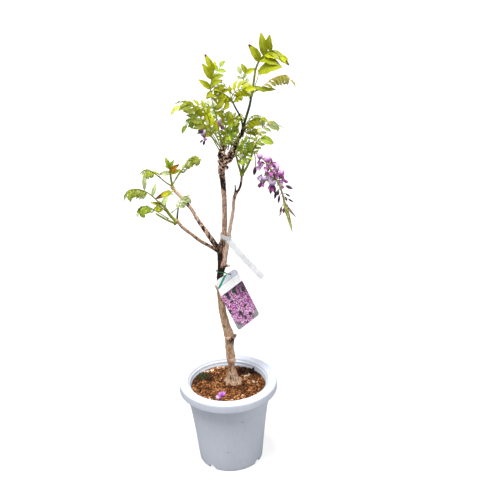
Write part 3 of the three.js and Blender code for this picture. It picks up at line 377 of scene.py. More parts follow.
def soil_top(x, y):
    """Height of the loose surface: a low crown with small heaps and hollows."""
    heaps = (math.sin(0.21 * x + 0.4) * math.sin(0.19 * y + 1.1)
             + 0.8 * math.sin(0.53 * x - 0.7) * math.sin(0.61 * y + 2.0))
    rough = 1.1 * noise.fractal(Vector((x, y, 3)) * 0.16, 0.9, 2.0, 4)
    return SOIL_Z + 1.5 * (1 - (x * x + y * y) / SOIL_RADIUS ** 2) + heaps + rough


def painted(tree, name, output="Fac"):
    """A value or vector that the mesh carries at each of its points."""
    return node(tree, "Attribute", attribute_name=name)[output]


soil_mix, tree, shader = blank("soil_mix", (1, 1, 1), 0.9, Specular_IOR_Level=0.25)
patchy = mottled(tree, 60.0, 2.6)["Height"]
fine = mottled(tree, 900.0, 2.5)["Height"]
tone = painted(tree, "crumb_tone") + (patchy - 0.5) * 0.2 + (fine - 0.5) * 0.22
shades = node(tree, "ValToRGB", {"Fac": tone})["Color"]
ramp = shades.socket.node.color_ramp.elements
for position, colour in [(0.24, tint(50, 30, 18)), (0.42, tint(110, 64, 34)), (0.6, tint(168, 102, 50)),
                         (0.76, tint(206, 144, 84)), (0.9, tint(228, 184, 134)), (1.0, tint(250, 234, 212))]:
    ramp.new(position).color = (*colour, 1)
ramp[0].color = (*tint(26, 16, 10), 1)
feed(shader["Base Color"], shades)
feed(shader["Normal"], fine.bump(0.7, 0.4))

rings = [SOIL_RADIUS * 0.996 * k / 64 for k in range(65)]
points, faces = turned([(0, 12), (56, 12)] + [(r, 0) for r in rings[::-1]], POT_SIDES)
points = [(x, y, soil_top(x, y) if z == 0 else z) for x, y, z in points]
bed = build("soil_bed", points, faces, [soil_mix],
            attributes={"crumb_tone": np.full(len(points), 0.32)}, crease=70)
fit(bed, "soil", "soil")

ball = bmesh.new()
bmesh.ops.create_icosphere(ball, subdivisions=2, radius=1)
ball_points = np.array([v.co for v in ball.verts])
ball_faces = np.array([[v.index for v in f.verts] for f in ball.faces])
ball.free()
chip_points = np.array([(-1, -0.6, -0.5), (-1, 0.6, -0.5), (-1.1, 0.1, 0.4), (-0.1, -1, -0.6), (0, 1, -0.5),
                        (0.1, 0.1, 0.7), (1, -0.5, -0.4), (1.1, 0.5, -0.4), (1, 0, 0.4)])
chip_faces = np.array([(0, 1, 2), (0, 3, 1), (1, 3, 4), (1, 4, 2), (2, 4, 5), (0, 2, 3), (2, 5, 3),
                       (3, 6, 4), (4, 6, 7), (4, 7, 5), (5, 7, 8), (3, 5, 6), (5, 8, 6), (6, 8, 7)])


def spin(draw, lean):
    """A turn about Z and a lean of up to so many radians."""
    turn = Matrix.Rotation(FULL_TURN * draw(), 3, "Z")
    for axis in "XY":
        turn = turn @ Matrix.Rotation(lean * (2 * draw() - 1), 3, axis)
    return np.array(turn)


def scattered(draw):
    """A place on the soil, outside the trunk's flare."""
    while True:
        r, turn = SCATTER_RADIUS * math.sqrt(draw()), FULL_TURN * draw()
        x, y = r * math.cos(turn), r * math.sin(turn)
        if math.hypot(x - TRUNK_FOOT[0], y - TRUNK_FOOT[1]) > FLARE_RADIUS:
            return x, y


def tone_and_painted_shadow_at(draw, x, y):
    """Tone of a bit of soil: moist patches at random and darker ground round the moss; behind the trunk and
    to its right it is painted darker as the trunk's shadow, so the front is lighter.
    """
    moist = noise.fractal(Vector((x, y, 9)) * 0.06, 1.0, 2.0, 3)
    # Painted shadow of the trunk: the soil behind it and to its right is darker.
    back = max(0.0, min(1.0, (y - 22) / 26)) * max(0.0, min(1.0, (x - 8) / 22))
    mossy = math.exp(-((x + 48) ** 2 + (y - 22) ** 2) / 380)
    return 0.49 + 0.2 * moist - 0.5 * back - 0.3 * mossy + 0.66 * (draw() - 0.5)


draw = seeded(311)
points, faces, tones = [], [], []
small_bits = CRUMBS["count"] + CHIPS["count"]
for k in range(small_bits + PALE_CHIPS_EACH * len(PALE_CHIPS)):
    x, y = scattered(draw)
    tone = tone_and_painted_shadow_at(draw, x, y)
    if k < CRUMBS["count"]:
        size = CRUMBS["smallest"] + CRUMBS["range"] * draw() ** 2
        shape = ball_points * (1 + 0.22 * np.sin(ball_points[:, [1, 2, 0]] * (3 + 4 * draw()) + 9 * draw()))
        shape = shape * size * (1, 0.6 + 0.4 * draw(), 0.55 + 0.3 * draw())
        shape, pattern, lift = shape @ spin(draw, 1.2).T, ball_faces, 0.25 * size
    else:
        length = CHIPS["shortest"] + CHIPS["range"] * draw() ** 2
        if k >= small_bits:
            x, y, spread = PALE_CHIPS[k % len(PALE_CHIPS)]
            x, y = x + spread * (2 * draw() - 1), y + spread * (2 * draw() - 1) * 0.5
            tone, length = 0.86 + 0.16 * draw(), 3 + 3 * draw()
        thin = (0.16 if k < small_bits else 0.45) + 0.2 * draw()
        shape = chip_points * (length / 2, length / 2 * thin, 0.35 + 0.4 * draw())
        shape, pattern, lift = shape @ spin(draw, 0.45).T, chip_faces, 0.7
    faces.extend((pattern + len(points)).tolist())
    points.extend((shape + (x, y, soil_top(x, y) + lift)).tolist())
    tones.extend([tone] * len(shape))
crumbs = build("soil_crumbs", points, faces, [soil_mix], attributes={"crumb_tone": tones}, crease=30)
fit(crumbs, "soil")


# ---------- wood ----------
# The trunk, its fork, the two bare branches and the paler second stem are one grown piece.
# Bark is tan and furrowed low down, dark above the tie, and swollen and scarred at the graft; shade in its
# furrows and scar pits and under the low knot is painted darker, and the scar knobs are painted paler as
# highlight.

LIMBS = [
    ("trunk", [
        (9, 12, 88, 10), (9, 12, 126, 13), (9, 12, 147, 17.5), (9, 12, 153, 16), (8.5, 11.5, 161, 11.5),
        (8, 11, 171, 8.8), (7, 10, 188, 6), (7, 9, 202, 8), (5, 7, 229, 7.3), (6, 5, 251, 8.6),
        (1, 3, 276, 7), (-4, 1, 304, 6.6), (-6, 0, 330, 6.2), (-7, 0, 354, 6), (-6, 0, 376, 6.3),
        (-3, 0, 398, 6.5), (-3, 0, 418, 5.8), (-2, 0, 431, 7), (3, 2, 452, 4.4), (5.8, 2, 475, 4.6),
        (7.2, 2, 505, 4.5), (7.4, 2, 533, 4.4), (6.4, 2, 558, 4.9), (5, 2, 578, 5.4), (8, 2, 596, 6.4),
        (7, 0, 612, 5.6), (10, 0, 624, 4.2)]),
    ("fork", [
        (8, 2, 590, 5), (17, 4, 598, 5.7), (23, 6, 605, 5.3), (31, 10, 621, 4), (36, 12, 632, 3.5),
        (43, 14, 643, 3.4), (45, 15, 651, 3.8), (45, 15, 657, 3.3)]),
    ("high", [
        (-2, 0, 424, 4.8), (-15, 4, 444, 4.3), (-28, 9, 464, 4), (-40, 14, 482, 3.5),
        (-50, 18, 501, 3.3), (-64.5, 22, 520, 3.1), (-77, 25, 534, 3.1), (-83, 26, 543, 3.2)]),
    ("low", [
        (-3, 0, 424, 4), (-9, -2, 430, 3.4), (-24, -8, 443.5, 3), (-36, -14, 454.5, 3),
        (-51, -22, 472.5, 2.9), (-65, -30, 489.5, 2.9), (-75, -36, 507, 2.9)]),
    ("pale", [
        (-1, -2, 390, 3.6), (4, -6, 409, 3.3), (6, -7, 425, 3.2), (10.2, -9, 447, 3.4),
        (14.2, -11, 470, 3.4), (18.3, -12, 492, 3.3), (22, -13, 511, 2.9), (25.3, -14, 537, 2.9),
        (29, -14, 543, 2.2), (35, -15, 554, 2), (38, -15, 567, 1.9), (39, -15, 580, 2)]),
    ("spur", [(25, -14, 535, 1.9), (27, -14, 548, 1.5), (27, -14, 558, 1.1)]),
    ("spur", [(20, 5, 602, 1.8), (29, 0, 610, 1.4), (37, -3, 616, 1)]),
    ("spur", [(14, 0, 600, 1.8), (20, -2, 616, 1.4), (27, -1, 632, 1)]),
    ("spur", [(5, 0, 598, 2.2), (1, -3, 607, 1.7), (1, -4, 615, 1.2)]),
    ("spur", [(-8, 0, 351, 2.4), (-13, -1, 356, 2.1), (-16, -1, 361, 1.2)]),
    ("spur", [(-30, 9, 464, 2), (-33, 8, 470, 1.2)]),
    ("spur", [(-57, 19, 507, 1.8), (-54, 18, 514, 1.1)]),
    ("spur", [(8, 3, 246, 4), (14, 2.5, 252, 3.2), (18, 2, 257, 2.2)]),
]
ROOTS = 7
KNOTS = [
    (-5, -1, 432, 6), (4, -1, 251, 6.3), (12, -1, 596, 5.2), (3, -2, 585, 4.2), (24, 3, 607, 4.4),
    (11, 3, 250, 5.5), (4, -4, 604, 3.4), (14, -3, 586, 3.8), (2, 2, 596, 3.4), (16, 1, 604, 4.2),
    (30, 8, 617, 3.4), (43, 12, 646, 3.2), (-11, 0, 352, 3), (7, -3, 400, 3), (10, -8, 402, 2.6),
    (-44, 15, 486, 2.6), (-38, 12, 477, 2.4), (-54, 18, 505, 2.4), (-68, 22, 523, 2.3),
    (26, -14, 540, 2.6), (9, 4, 202, 6.6), (8, 0, 556, 3.6), (6, 0, 574, 3.8), (20, 2, 598, 4.6),
    (14, 0, 600, 5), (26, 6, 609, 4.6),
]
BARK_VOXEL = 0.7
BARK_SIDES = 22
GOLDEN = 2.4  # the turn from one bud to the next, which spreads them evenly
SWELLINGS = [  # limb, how many, from and to height, smallest and largest radius
    ("trunk", 54, 572, 626, 1.2, 2.9), ("trunk", 26, 528, 574, 0.9, 1.9), ("fork", 26, 590, 656, 0.9, 1.9),
    ("high", 18, 432, 540, 0.7, 1.3), ("low", 12, 428, 505, 0.5, 1.0), ("trunk", 14, 392, 436, 1.2, 2.4),
    ("trunk", 10, 236, 262, 1.4, 2.6), ("pale", 12, 520, 575, 0.6, 1.1),
]
GRAFT = {"height": 600, "reach": 26, "limbs": ("trunk", "fork", "spur")}

# For each limb, by height: how dark, how pink and how pale its bark is. The dark ring at 183 mm on the trunk
# is painted shadow under the knot above it.
BARK_TONES = {
    "trunk": [
        (88, 0.3, 0.1, 0.3), (149, 0.22, 0.1, 0.3), (155, 0.22, 0.15, 0.25), (163, 0.2, 0.2, 0.2),
        # 183 mm: painted shadow under the knot at 202 mm.
        (175, 0.12, 0.2, 0.2), (183, 0.4, 0.1, 0.1), (190, 0.25, 0.1, 0.05), (197, 0.08, 0.1, 0.15),
        (240, 0.04, 0.1, 0.2), (262, 0.06, 0.1, 0.16), (330, 0.14, 0, 0.08), (360, 0.4, 0.1, 0),
        (376, 1.1, 0.2, 0), (394, 1.6, 0.1, 0), (412, 1.4, 0.2, 0), (438, 0.7, 0.5, 0.1),
        (452, 0.15, 0.6, 0.1), (534, 0.12, 0.6, 0.1), (546, 0.75, 0.2, 0), (568, 0.8, 0.2, 0),
        (580, 0.4, 0.8, 0.2), (600, 0.35, 0.9, 0.4), (624, 0.45, 0.7, 0.3)],
    "fork": [(590, 0.4, 0.8, 0.3), (606, 0.5, 0.7, 0.3), (632, 0.75, 0.6, 0.1), (657, 0.7, 0.5, 0.1)],
    "high": [
        (422, 1.2, 0.3, 0), (436, 0.8, 0.4, 0), (450, 0.4, 0.5, 0.1), (462, 0.2, 0.6, 0.25),
        (473, 0.15, 0.6, 0.3), (478, 0.55, 0.5, 0), (484, 0.15, 0.6, 0.3), (498, 0.15, 0.6, 0.3),
        (502, 0.5, 0.5, 0), (507, 0.15, 0.6, 0.3), (543, 0.15, 0.6, 0.4)],
    "low": [
        (420, 1.2, 0.3, 0), (434, 0.8, 0.3, 0), (450, 0.5, 0.1, 0.1), (470, 0.3, 0.05, 0.2),
        (508, 0.1, 0, 0.3)],
    "pale": [
        (386, 1.3, 0.2, 0), (397, 1, 0.4, 0.1), (406, 0.2, 1, 0.4), (440, 0, 1, 0.5),
        (520, 0.1, 0.9, 0.35), (545, 0.6, 0.4, 0.1), (580, 0.75, 0.2, 0)],
    "spur": [(340, 0.4, 0.5, 0.1), (640, 0.75, 0.5, 0)],
    "root": [(130, 0.25, 0.1, 0.25), (153, 0.22, 0.15, 0.3), (167, 0.2, 0.2, 0.2)],
}


def spline(knots, per=12):
    """Points on a smooth curve through the knots; columns after the third are blended."""
    knots = np.asarray(knots, float)
    path = np.vstack([2 * knots[0] - knots[1], knots, 2 * knots[-1] - knots[-2]])[:, :3]
    rows = [knots[0]]
    for i in range(len(knots) - 1):
        a, b, c, d = path[i:i + 4]
        before, step, after = (np.linalg.norm(q - p) ** 0.5 for p, q in ((a, b), (b, c), (c, d)))
        leave = ((b - a) / before - (c - a) / (before + step) + (c - b) / step) * step
        arrive = ((c - b) / step - (d - b) / (step + after) + (d - c) / after) * step
        for k in range(1, per + 1):
            t = k / per
            point = (b + leave * t + (3 * (c - b) - 2 * leave - arrive) * t * t
                     + (leave + arrive - 2 * (c - b)) * t ** 3)
            blend = t * t * (3 - 2 * t)
            rows.append(np.append(point, knots[i, 3:] * (1 - blend) + knots[i + 1, 3:] * blend))
    return np.array(rows)


def tube(rows, sides, lobes=0.0, twist=0.0):
    """Points and faces of a closed tube through rows [x, y, z, radius]."""
    centres, radii = rows[:, :3], rows[:, 3]
    ahead = np.gradient(centres, axis=0)
    ahead /= np.linalg.norm(ahead, axis=1)[:, None]
    side = np.cross(ahead[0], (0.3, 1, 0.2))
    points, rings = [], []
    for i, (centre, radius, tangent) in enumerate(zip(centres, radii, ahead)):
        side = side - tangent * (side @ tangent)
        side /= np.linalg.norm(side)
        across = np.cross(tangent, side)
        rings.append(range(len(points), len(points) + sides))
        for k in range(sides):
            turn = 2 * math.pi * k / sides
            reach = radius * (1 + lobes * math.sin(2 * turn + twist * i))
            points.append(centre + reach * (side * math.cos(turn) + across * math.sin(turn)))
    faces = wrapped(rings)
    for ring, end, tangent in ((rings[0], 0, -ahead[0]), (rings[-1], -1, ahead[-1])):
        points.append(centres[end] + tangent * radii[end] * 0.5)
        faces += [(ring[k - 1], ring[k], len(points) - 1) for k in range(sides)]
    return points, faces


def added(points, faces, more_points, more_faces):
    """Lays more points and faces after those of a mesh in the making."""
    start = len(points)
    faces.extend(tuple(start + i for i in face) for face in more_faces)
    points.extend(more_points)


limbs = list(LIMBS)
for k in range(ROOTS):
    turn = 2 * math.pi * (k + 0.35) / ROOTS
    foot = [(TRUNK_FOOT[0] + out * math.cos(turn), TRUNK_FOOT[1] + out * math.sin(turn), z, radius)
            for out, z, radius in ((2, 169, 3.4), (8, 158, 4.2), (14.5, 151, 4.4), (16.5, 143, 3.4))]
    limbs.append(("root", foot))

points, faces, samples = [], [], []
for limb, path in limbs:
    rows = spline(path, 10)
    samples += [(limb, row) for row in rows]
    lobes = 0.03 if limb in ("spur", "root") else 0.07
    added(points, faces, *tube(rows, BARK_SIDES, lobes=lobes, twist=0.08))
for x, y, z, r in KNOTS:
    added(points, faces, ball_points * r * (1, 1, 0.85) + (x, y, z), ball_faces)

# Swellings and bud scars crowd the graft, where shoots broke out and were cut back each year.
draw = seeded(5)
for limb, count, low, high, small, large in SWELLINGS:
    rows = np.array([row for name, row in samples if name == limb])
    for k in range(count):
        height = low + (high - low) * draw()
        x, y, z, r = rows[np.argmin(abs(rows[:, 2] - height))]
        turn = GOLDEN * k + draw()
        size = small + (large - small) * draw() ** 1.5
        seat = 0.82 * r
        spot = (x + seat * math.cos(turn), y + seat * math.sin(turn), height)
        added(points, faces, ball_points * size * (1, 1, 0.8) + spot, ball_faces)

bark, tree, shader = blank("bark", (1, 1, 1), 0.85, Specular_IOR_Level=0.3)
# The dark and pale values hold the bark's own tone, plus painted shade in pits and furrows and painted
# highlight on knobs.
dark, pink, pale = (painted(tree, key) for key in ("bark_dark_and_painted_shade", "bark_pink", "bark_pale_and_painted_highlight"))
blotch = mottled(tree, 130.0, 3.2, 0.5)["Height"]
furrow = mottled(tree, 650.0, 3.0, 0.14)["Height"]
speck = mottled(tree, 1300.0, 3.0)["Height"]
tan = furrow.between(0.1, 0.9).mix(tint(132, 92, 62), tint(222, 184, 146))
reddish = furrow.between(0.1, 0.9).mix(tint(136, 88, 78), tint(234, 198, 184))
cream = blotch.between(0.2, 0.8).mix(tint(200, 162, 126), tint(244, 224, 198))
umber = speck.between(0.1, 0.9).mix(tint(18, 9, 6), tint(50, 30, 20))
worn = (pale * blotch.between(0.0, 0.75, 0.45, 1.3)).held()
shade = ((blotch - 0.45) * 0.9 + dark).held()
colour = worn.mix(pink.mix(tan, reddish), cream)
feed(shader["Base Color"], shade.between(0.25, 0.85).mix(colour, umber))
feed(shader["Normal"], (speck * 0.35 + furrow).bump(0.8, 0.35))

stem = build("wood_skin", points, faces, [bark])
remesh = stem.modifiers.new("one_skin", "REMESH")
remesh.mode = "VOXEL"
remesh.voxel_size = BARK_VOXEL * MM
remesh.use_smooth_shade = True
applied(stem)

nearest = kdtree.KDTree(len(samples))
for i, (limb, row) in enumerate(samples):
    nearest.insert(Vector(row[:3]), i)
nearest.balance()
count = len(stem.data.vertices)
skin = np.empty(count * 3, np.float32)
outward = np.empty(count * 3, np.float32)
stem.data.vertices.foreach_get("co", skin)
stem.data.vertex_normals.foreach_get("vector", outward)
skin, outward = skin.reshape(-1, 3) / MM, outward.reshape(-1, 3)
tones = np.empty((count, 3), np.float32)
for i in range(count):
    here = Vector(skin[i])
    limb, row = samples[nearest.find(here)[1]]
    table = np.array(BARK_TONES[limb])
    tones[i] = [np.interp(row[2], table[:, 0], table[:, c]) for c in (1, 2, 3)]
    away = abs(here.z - GRAFT["height"]) / GRAFT["reach"]
    scarred = min(1.0, max(0.12, 1.6 - away)) if limb in GRAFT["limbs"] else 0.12
    ridges = noise.fractal(Vector((here.x, here.y, here.z * 0.2)) * 0.45, 0.8, 2.0, 3)
    lumps = noise.noise(here * 0.16)
    scars = noise.noise(here * 0.27) * scarred
    skin[i] += outward[i] * (0.08 * row[3] * ridges + 0.08 * row[3] * lumps + 1.9 * scars)
    # Painted shade and highlight: scar pits and ridge furrows darker, raised scar knobs paler.
    tones[i] += (-2.1 * scars - 0.3 * ridges, 0, 0.9 * max(0, scars))
stem.data.vertices.foreach_set("co", (skin * MM).ravel())
tones = np.clip(tones, 0, 1)
for c, key in enumerate(("bark_dark_and_painted_shade", "bark_pink", "bark_pale_and_painted_highlight")):
    stem.data.attributes.new(key, "FLOAT", "POINT").data.foreach_set("value", tones[:, c])
stem.data.update()
fit(stem, "bark", "woody_stem")


# ---------- leafy shoots ----------
# Each shoot grew this spring from a bud of the wood: a green stem with pinnate leaves, whose
# thin leaflets fold along the midrib. The youngest ones still hang folded like a comb.

VIEW = (0, -0.85, 0.5)
SKY = (0, -0.35, 1)
BLADE = 0.3  # thickness of leaflets and petals
SINK = 1  # how far a single leaflet's foot runs into its stem
CURVE_STEPS = 200


def unit(vector):
    """The vector at length one."""
    vector = np.asarray(vector, float)
    return vector / np.linalg.norm(vector)


def square_to(vector, axis):
    """The vector turned square to an axis, at length one."""
    return unit(vector - axis * (np.asarray(vector) @ axis))


class Growth:
    """One piece as it grows: its skins, and each point's place along and across its blade."""

    def __init__(self):
        self.points, self.faces, self.places, self.rusts = [], [], [], []
        self.skins, self.finishes = [], []

    def add(self, points, faces, skin, places, rust=0.0):
        added(self.points, self.faces, points, faces)
        if skin not in self.skins:
            self.skins.append(skin)
        self.finishes.extend([self.skins.index(skin)] * len(faces))
        self.places.extend(places)
        self.rusts.extend([rust] * len(points))

    def piece(self, name, slot, *nodes):
        attributes = {"blade_place": self.places, "blade_rust": self.rusts}
        made = build(name, self.points, self.faces, self.skins, self.finishes, attributes, crease=50)
        fit(made, slot, *nodes)


def leaflet_edge(u):
    """Half width of a leaflet along its length: widest below the middle, drawn out to a tip."""
    return 0.06 + 0.94 * np.sin(np.pi * np.clip(u, 0, 0.97) ** 0.85) ** 0.72


def blade(growth, root, ahead, up, length, width, skin, edge=leaflet_edge, fold=0.22, cup=0.0,
          arch=0.1, wave=0.025, hook=0.0, notch=0.0, tone=0.5, rust=0.0, rows=12, columns=8):
    """A thin closed leaflet or petal that starts at root and runs ahead; `up` is its upper side."""
    ahead = unit(ahead)
    up = square_to(up, ahead)
    right = np.cross(ahead, up)
    u = np.linspace(0, 1, rows + 1)[:, None]
    v = np.linspace(-1, 1, columns + 1)[None, :]
    half = edge(u) * width / 2
    forward = length * (u - notch * u ** 6 * (1 - np.abs(v)) ** 2)
    ripple = np.sin(2 * math.pi * (2.6 * u + 3 * tone) + np.sign(v)) * v * v * np.sin(np.pi * u)
    rise = (length * (4 * arch * u * (1 - u) - hook * u ** 3 + wave * ripple)
            + (fold * np.abs(v) + cup * v * v) * half)
    top = (np.asarray(root) + forward[..., None] * ahead + (v * half)[..., None] * right
           + rise[..., None] * up)
    points = top.reshape(-1, 3)
    over = np.arange(len(points)).reshape(rows + 1, columns + 1)
    under = over.copy()
    under[:, 1:-1] = len(points) + np.arange((rows + 1) * (columns - 1)).reshape(rows + 1, columns - 1)
    points = np.vstack([points, (top[:, 1:-1] - BLADE * up).reshape(-1, 3)])
    faces = []
    for i in range(rows):
        for j in range(columns):
            faces.append((over[i, j], over[i, j + 1], over[i + 1, j + 1], over[i + 1, j]))
            faces.append((under[i, j], under[i + 1, j], under[i + 1, j + 1], under[i, j + 1]))
    for end in (0, -1):
        faces += joined(over[end], under[end])[:-1]
    place = np.stack([u + 0 * v, v + 0 * u, np.full(top.shape[:2], tone)], axis=-1)
    places = np.vstack([place.reshape(-1, 3), place[:, 1:-1].reshape(-1, 3)])
    growth.add(points.tolist(), faces, skin, places.tolist(), rust)


def stalk(growth, knots, skin, tone=0.5, sides=8, per=8):
    """A round green stem through knots [x, y, z, radius]."""
    points, faces = tube(spline(knots, per), sides)
    growth.add(points, faces, skin, [(0.5, 0, tone)] * len(points))


def spindle(growth, base, tip, radius, skin, belly=0.5, flat=1.0, tone=0.5, sides=10, rows=8):
    """A closed bud, scale or keel, thickest at `belly` of its length."""
    base, tip = np.asarray(base, float), np.asarray(tip, float)
    ahead = unit(tip - base)
    side = unit(np.cross(ahead, (0.2, 0.9, 0.35)))
    lift = np.cross(side, ahead)
    sharpness = math.log(0.5) / math.log(belly)
    points, places = [base], [(0, 0, tone)]
    for i in range(1, rows):
        t = i / rows
        reach = radius * math.sin(math.pi * t ** sharpness) ** 0.8
        for a, b in circle(sides):
            points.append(base + (tip - base) * t + reach * (flat * a * side + b * lift))
            places.append((t, a, tone))
    points.append(tip)
    places.append((1, 0, tone))
    rings = [[0] * sides, *([1 + i * sides + k for k in range(sides)] for i in range(rows - 1)),
             [len(points) - 1] * sides]
    growth.add(points, wrapped(rings[::-1]), skin, places)


def evenly(knots, count=CURVE_STEPS):
    """Points evenly spaced along the curve through the knots, and its length."""
    dense = spline(knots, 24)[:, :3]
    reach = np.append(0, np.cumsum(np.linalg.norm(np.diff(dense, axis=0), axis=1)))
    steps = np.linspace(0, reach[-1], count + 1)
    return np.stack([np.interp(steps, reach, dense[:, c]) for c in range(3)], axis=1), reach[-1]


def nearest_on(paths, base):
    """The point of the given stems that lies nearest to a base."""
    spots = np.vstack([evenly(path, 60)[0] for path in paths])
    return spots[np.argmin(np.linalg.norm(spots - np.asarray(base), axis=1))]


# The group draws a blade's veins from its place: along it from 0 to 1, and across it from -1 to 1.
# It browns the outer end of a rusty blade. Height lies lower at the midrib and the side veins.
veins, given, out = group(
    "veins",
    {"Young": (1, 1, 1), "Ripe": (0, 0, 0), "Rib": (1, 1, 1), "Brown": (0, 0, 0), "Count": 9.0},
)
along, across, tone = axes(veins, painted(veins, "blade_place", "Vector"))
aside = abs(across)
ridge = (aside * -1.3 + along * given["Count"]).maths("PINGPONG", 0.5)
lateral = ridge.between(0.12, 0.02) * aside.between(1.0, 0.5)
lines = aside.between(0.13, 0.03).maths("MAXIMUM", lateral * 0.65)
cloud = mottled(veins, 160.0, 2.2)["Height"]
ripe = (cloud * 0.5 + (tone - 0.25)).held()
colour = (lines * 0.55).mix(ripe.mix(given["Young"], given["Ripe"]), given["Rib"])
outer = along.maths("MAXIMUM", aside * 0.86) + cloud * 0.24
burnt = (painted(veins, "blade_rust") * 0.75 + outer).between(1.12, 1.3)
feed(out["Color"], burnt.mix(colour, given["Brown"]))
feed(out["Height"], cloud * 0.3 - lines + 1.0)


def see_through(tree, share, colour):
    """Lets a share of the light through the thin blade."""
    glow = node(tree, "BsdfTranslucent", {"Color": colour})[0]
    solid = Wire(tree.nodes["Principled BSDF"].outputs[0])
    both = node(tree, "MixShader", {0: share, 1: solid, 2: glow})[0]
    feed(tree.nodes["Material Output"].inputs["Surface"], both)


def leaf_skin(name, young, ripe, rib, brown=tint(120, 66, 30)):
    """A leaf's material, from its young and ripe greens and the colour of its ribs."""
    material, tree, shader = blank(name, young, 0.5, Specular_IOR_Level=0.35)
    colours = {"Young": young, "Ripe": ripe, "Rib": rib, "Brown": brown}
    pattern = node(tree, "Group", colours, node_tree=veins)
    feed(shader["Base Color"], pattern["Color"])
    feed(shader["Normal"], pattern["Height"].bump(0.6, 0.25))
    see_through(tree, 0.42, pattern["Color"])
    return material


def stalk_skin(name, base, other):
    """A green stem's material, with small streaks of a second colour."""
    material, tree, shader = blank(name, base, 0.5)
    streaks = mottled(tree, 240.0, 2.6, 0.4, base, other)
    feed(shader["Base Color"], streaks["Color"])
    feed(shader["Normal"], streaks["Height"].bump(0.4, 0.2))
    return material


LEAVES = {name: leaf_skin("leaf_" + name, *greens) for name, *greens in (
    ("fresh", tint(212, 216, 26), tint(168, 178, 10), tint(226, 228, 96)),
    ("yellow", tint(224, 226, 22), tint(186, 194, 8), tint(232, 232, 92)),
    ("green", tint(204, 222, 74), tint(142, 170, 26), tint(232, 240, 162)),
    ("pale", tint(224, 232, 180), tint(182, 198, 120), tint(244, 248, 226)),
    ("bronze", tint(234, 232, 140), tint(200, 200, 84), tint(220, 184, 134)),
    ("tender", tint(222, 228, 96), tint(164, 180, 36), tint(248, 250, 206)),
    ("olive", tint(200, 202, 34), tint(150, 156, 12), tint(222, 220, 100)),
    ("orange", tint(206, 130, 20), tint(180, 140, 10), tint(214, 170, 60)),
)}
STALKS = {
    "green": stalk_skin("stalk_green", tint(160, 166, 46), tint(92, 106, 22)),
    "dark": stalk_skin("stalk_dark", tint(58, 76, 12), tint(30, 42, 6)),
    "pink": stalk_skin("stalk_pink", tint(206, 190, 120), tint(216, 158, 128)),
}


class Shoot(Growth):
    """A leafy shoot. Its stems come first, then its leaves, then its single leaflets."""

    def __init__(self, name, skin, wood="dark"):
        super().__init__()
        self.name, self.skin, self.wood = name, skin, wood
        self.paths = []
        self.look = None

    def stem(self, *path):
        """A stem, with a collar of bud scales at its foot."""
        self.paths.append(path)
        stalk(self, path, STALKS[self.wood])
        foot = np.array(path[0][:3], float)
        collar = foot + unit(np.array(path[1][:3]) - foot) * 4.5
        spindle(self, foot - (0, 0, 1.5), collar, path[0][3] * 1.5, STALKS["green"])

    def leaf(self, path, start=0.35, pairs=4, size=20, slim=0.46, spread=58, droop=20, face=(0, -0.4, 1),
             tuft=0, seed=1, skin=None, rachis="green", thick=1.8, rust=0.0, last=1.0):
        """A pinnate leaf: a rachis along the path, with pairs of leaflets and one at its tip.

        A tuft of smaller leaflets, the last to unfold, crowds the tip of a young leaf.
        """
        self.paths.append(path)
        skin = LEAVES[skin or self.skin]
        draw = seeded(seed)
        look = seeded(seed + 5000)

        def jitter(reach):
            return reach * (2 * draw() - 1)

        curve, length = evenly(path)

        def at(t):
            i = min(CURVE_STEPS - 1, int(t * CURVE_STEPS))
            point = curve[i] + (curve[i + 1] - curve[i]) * (t * CURVE_STEPS - i)
            return point, unit(curve[min(CURVE_STEPS, i + 2)] - curve[max(0, i - 1)])

        rows = []
        for i in range(0, CURVE_STEPS + 1, 8):
            t = i / CURVE_STEPS
            rows.append((*curve[i], thick / 2 * (1 - 0.35 * t) + 0.5 * math.exp(-t * length / 2)))
        points, faces = tube(np.array(rows), 7)
        self.add(points, faces, STALKS[rachis], [(0.5, 0, look())] * len(points))
        for k in range(pairs + tuft):
            step = k if k < pairs else pairs - 0.75 + 0.62 * (k - pairs)
            t = start + (1 - start) * (step + 0.15) / (pairs + 0.1) + 0.75 / length
            centre, ahead = at(min(0.995, t))
            up = square_to(face, ahead)
            right = np.cross(ahead, up)
            for side in (-1, 1):
                turn = math.radians(spread - 14 * (step / pairs) + jitter(5))
                hang = math.radians(droop + jitter(6) + 16 * (k >= pairs))
                swell = 0.78 + 0.22 * math.sin(math.pi * (k + 1) / (pairs + 1)) if k < pairs else 0.66
                reach = size * swell * (1 + jitter(0.08))
                out = side * math.cos(hang) * right - math.sin(hang) * up
                blade(self, centre + side * 0.4 * right, math.cos(turn) * ahead + math.sin(turn) * out,
                      math.cos(hang) * up + side * math.sin(hang) * right, reach, slim * reach, skin,
                      fold=0.22 + 0.1 * look(), hook=0.1 * look(), wave=0.02 + 0.02 * look(),
                      tone=look(), rust=rust * look())
        centre, ahead = at(1)
        size = size * last
        blade(self, centre - 0.6 * ahead, ahead, face, size + 0.6, slim * size, skin, hook=0.06, tone=look())

    def comb(self, *place, droop=64, slim=0.4, **habit):
        """A young leaf, whose leaflets still hang folded like the teeth of a comb."""
        self.leaf(*place, droop=droop, slim=slim, spread=72, **habit)

    def leaflet(self, base, tip, width, face=VIEW, skin=None, arch=0.1, rust=None):
        """A single leaflet, whose foot runs into the nearest stem."""
        self.look = self.look or seeded(len(self.name) * 97 + len(self.paths))
        root = nearest_on(self.paths, base)
        along = np.array(tip) - root
        root = root - unit(along) * SINK
        tone, browned = self.look(), 0.3 * self.look()
        blade(self, root, along, face, np.linalg.norm(along) + SINK, width, LEAVES[skin or self.skin],
              arch=arch, hook=0.04, tone=tone, rust=browned if rust is None else rust, rows=16, columns=10)

    def finish(self):
        self.piece(self.name + "_foliage", "leaf_pale" if self.skin == "pale" else "leaf", self.name)


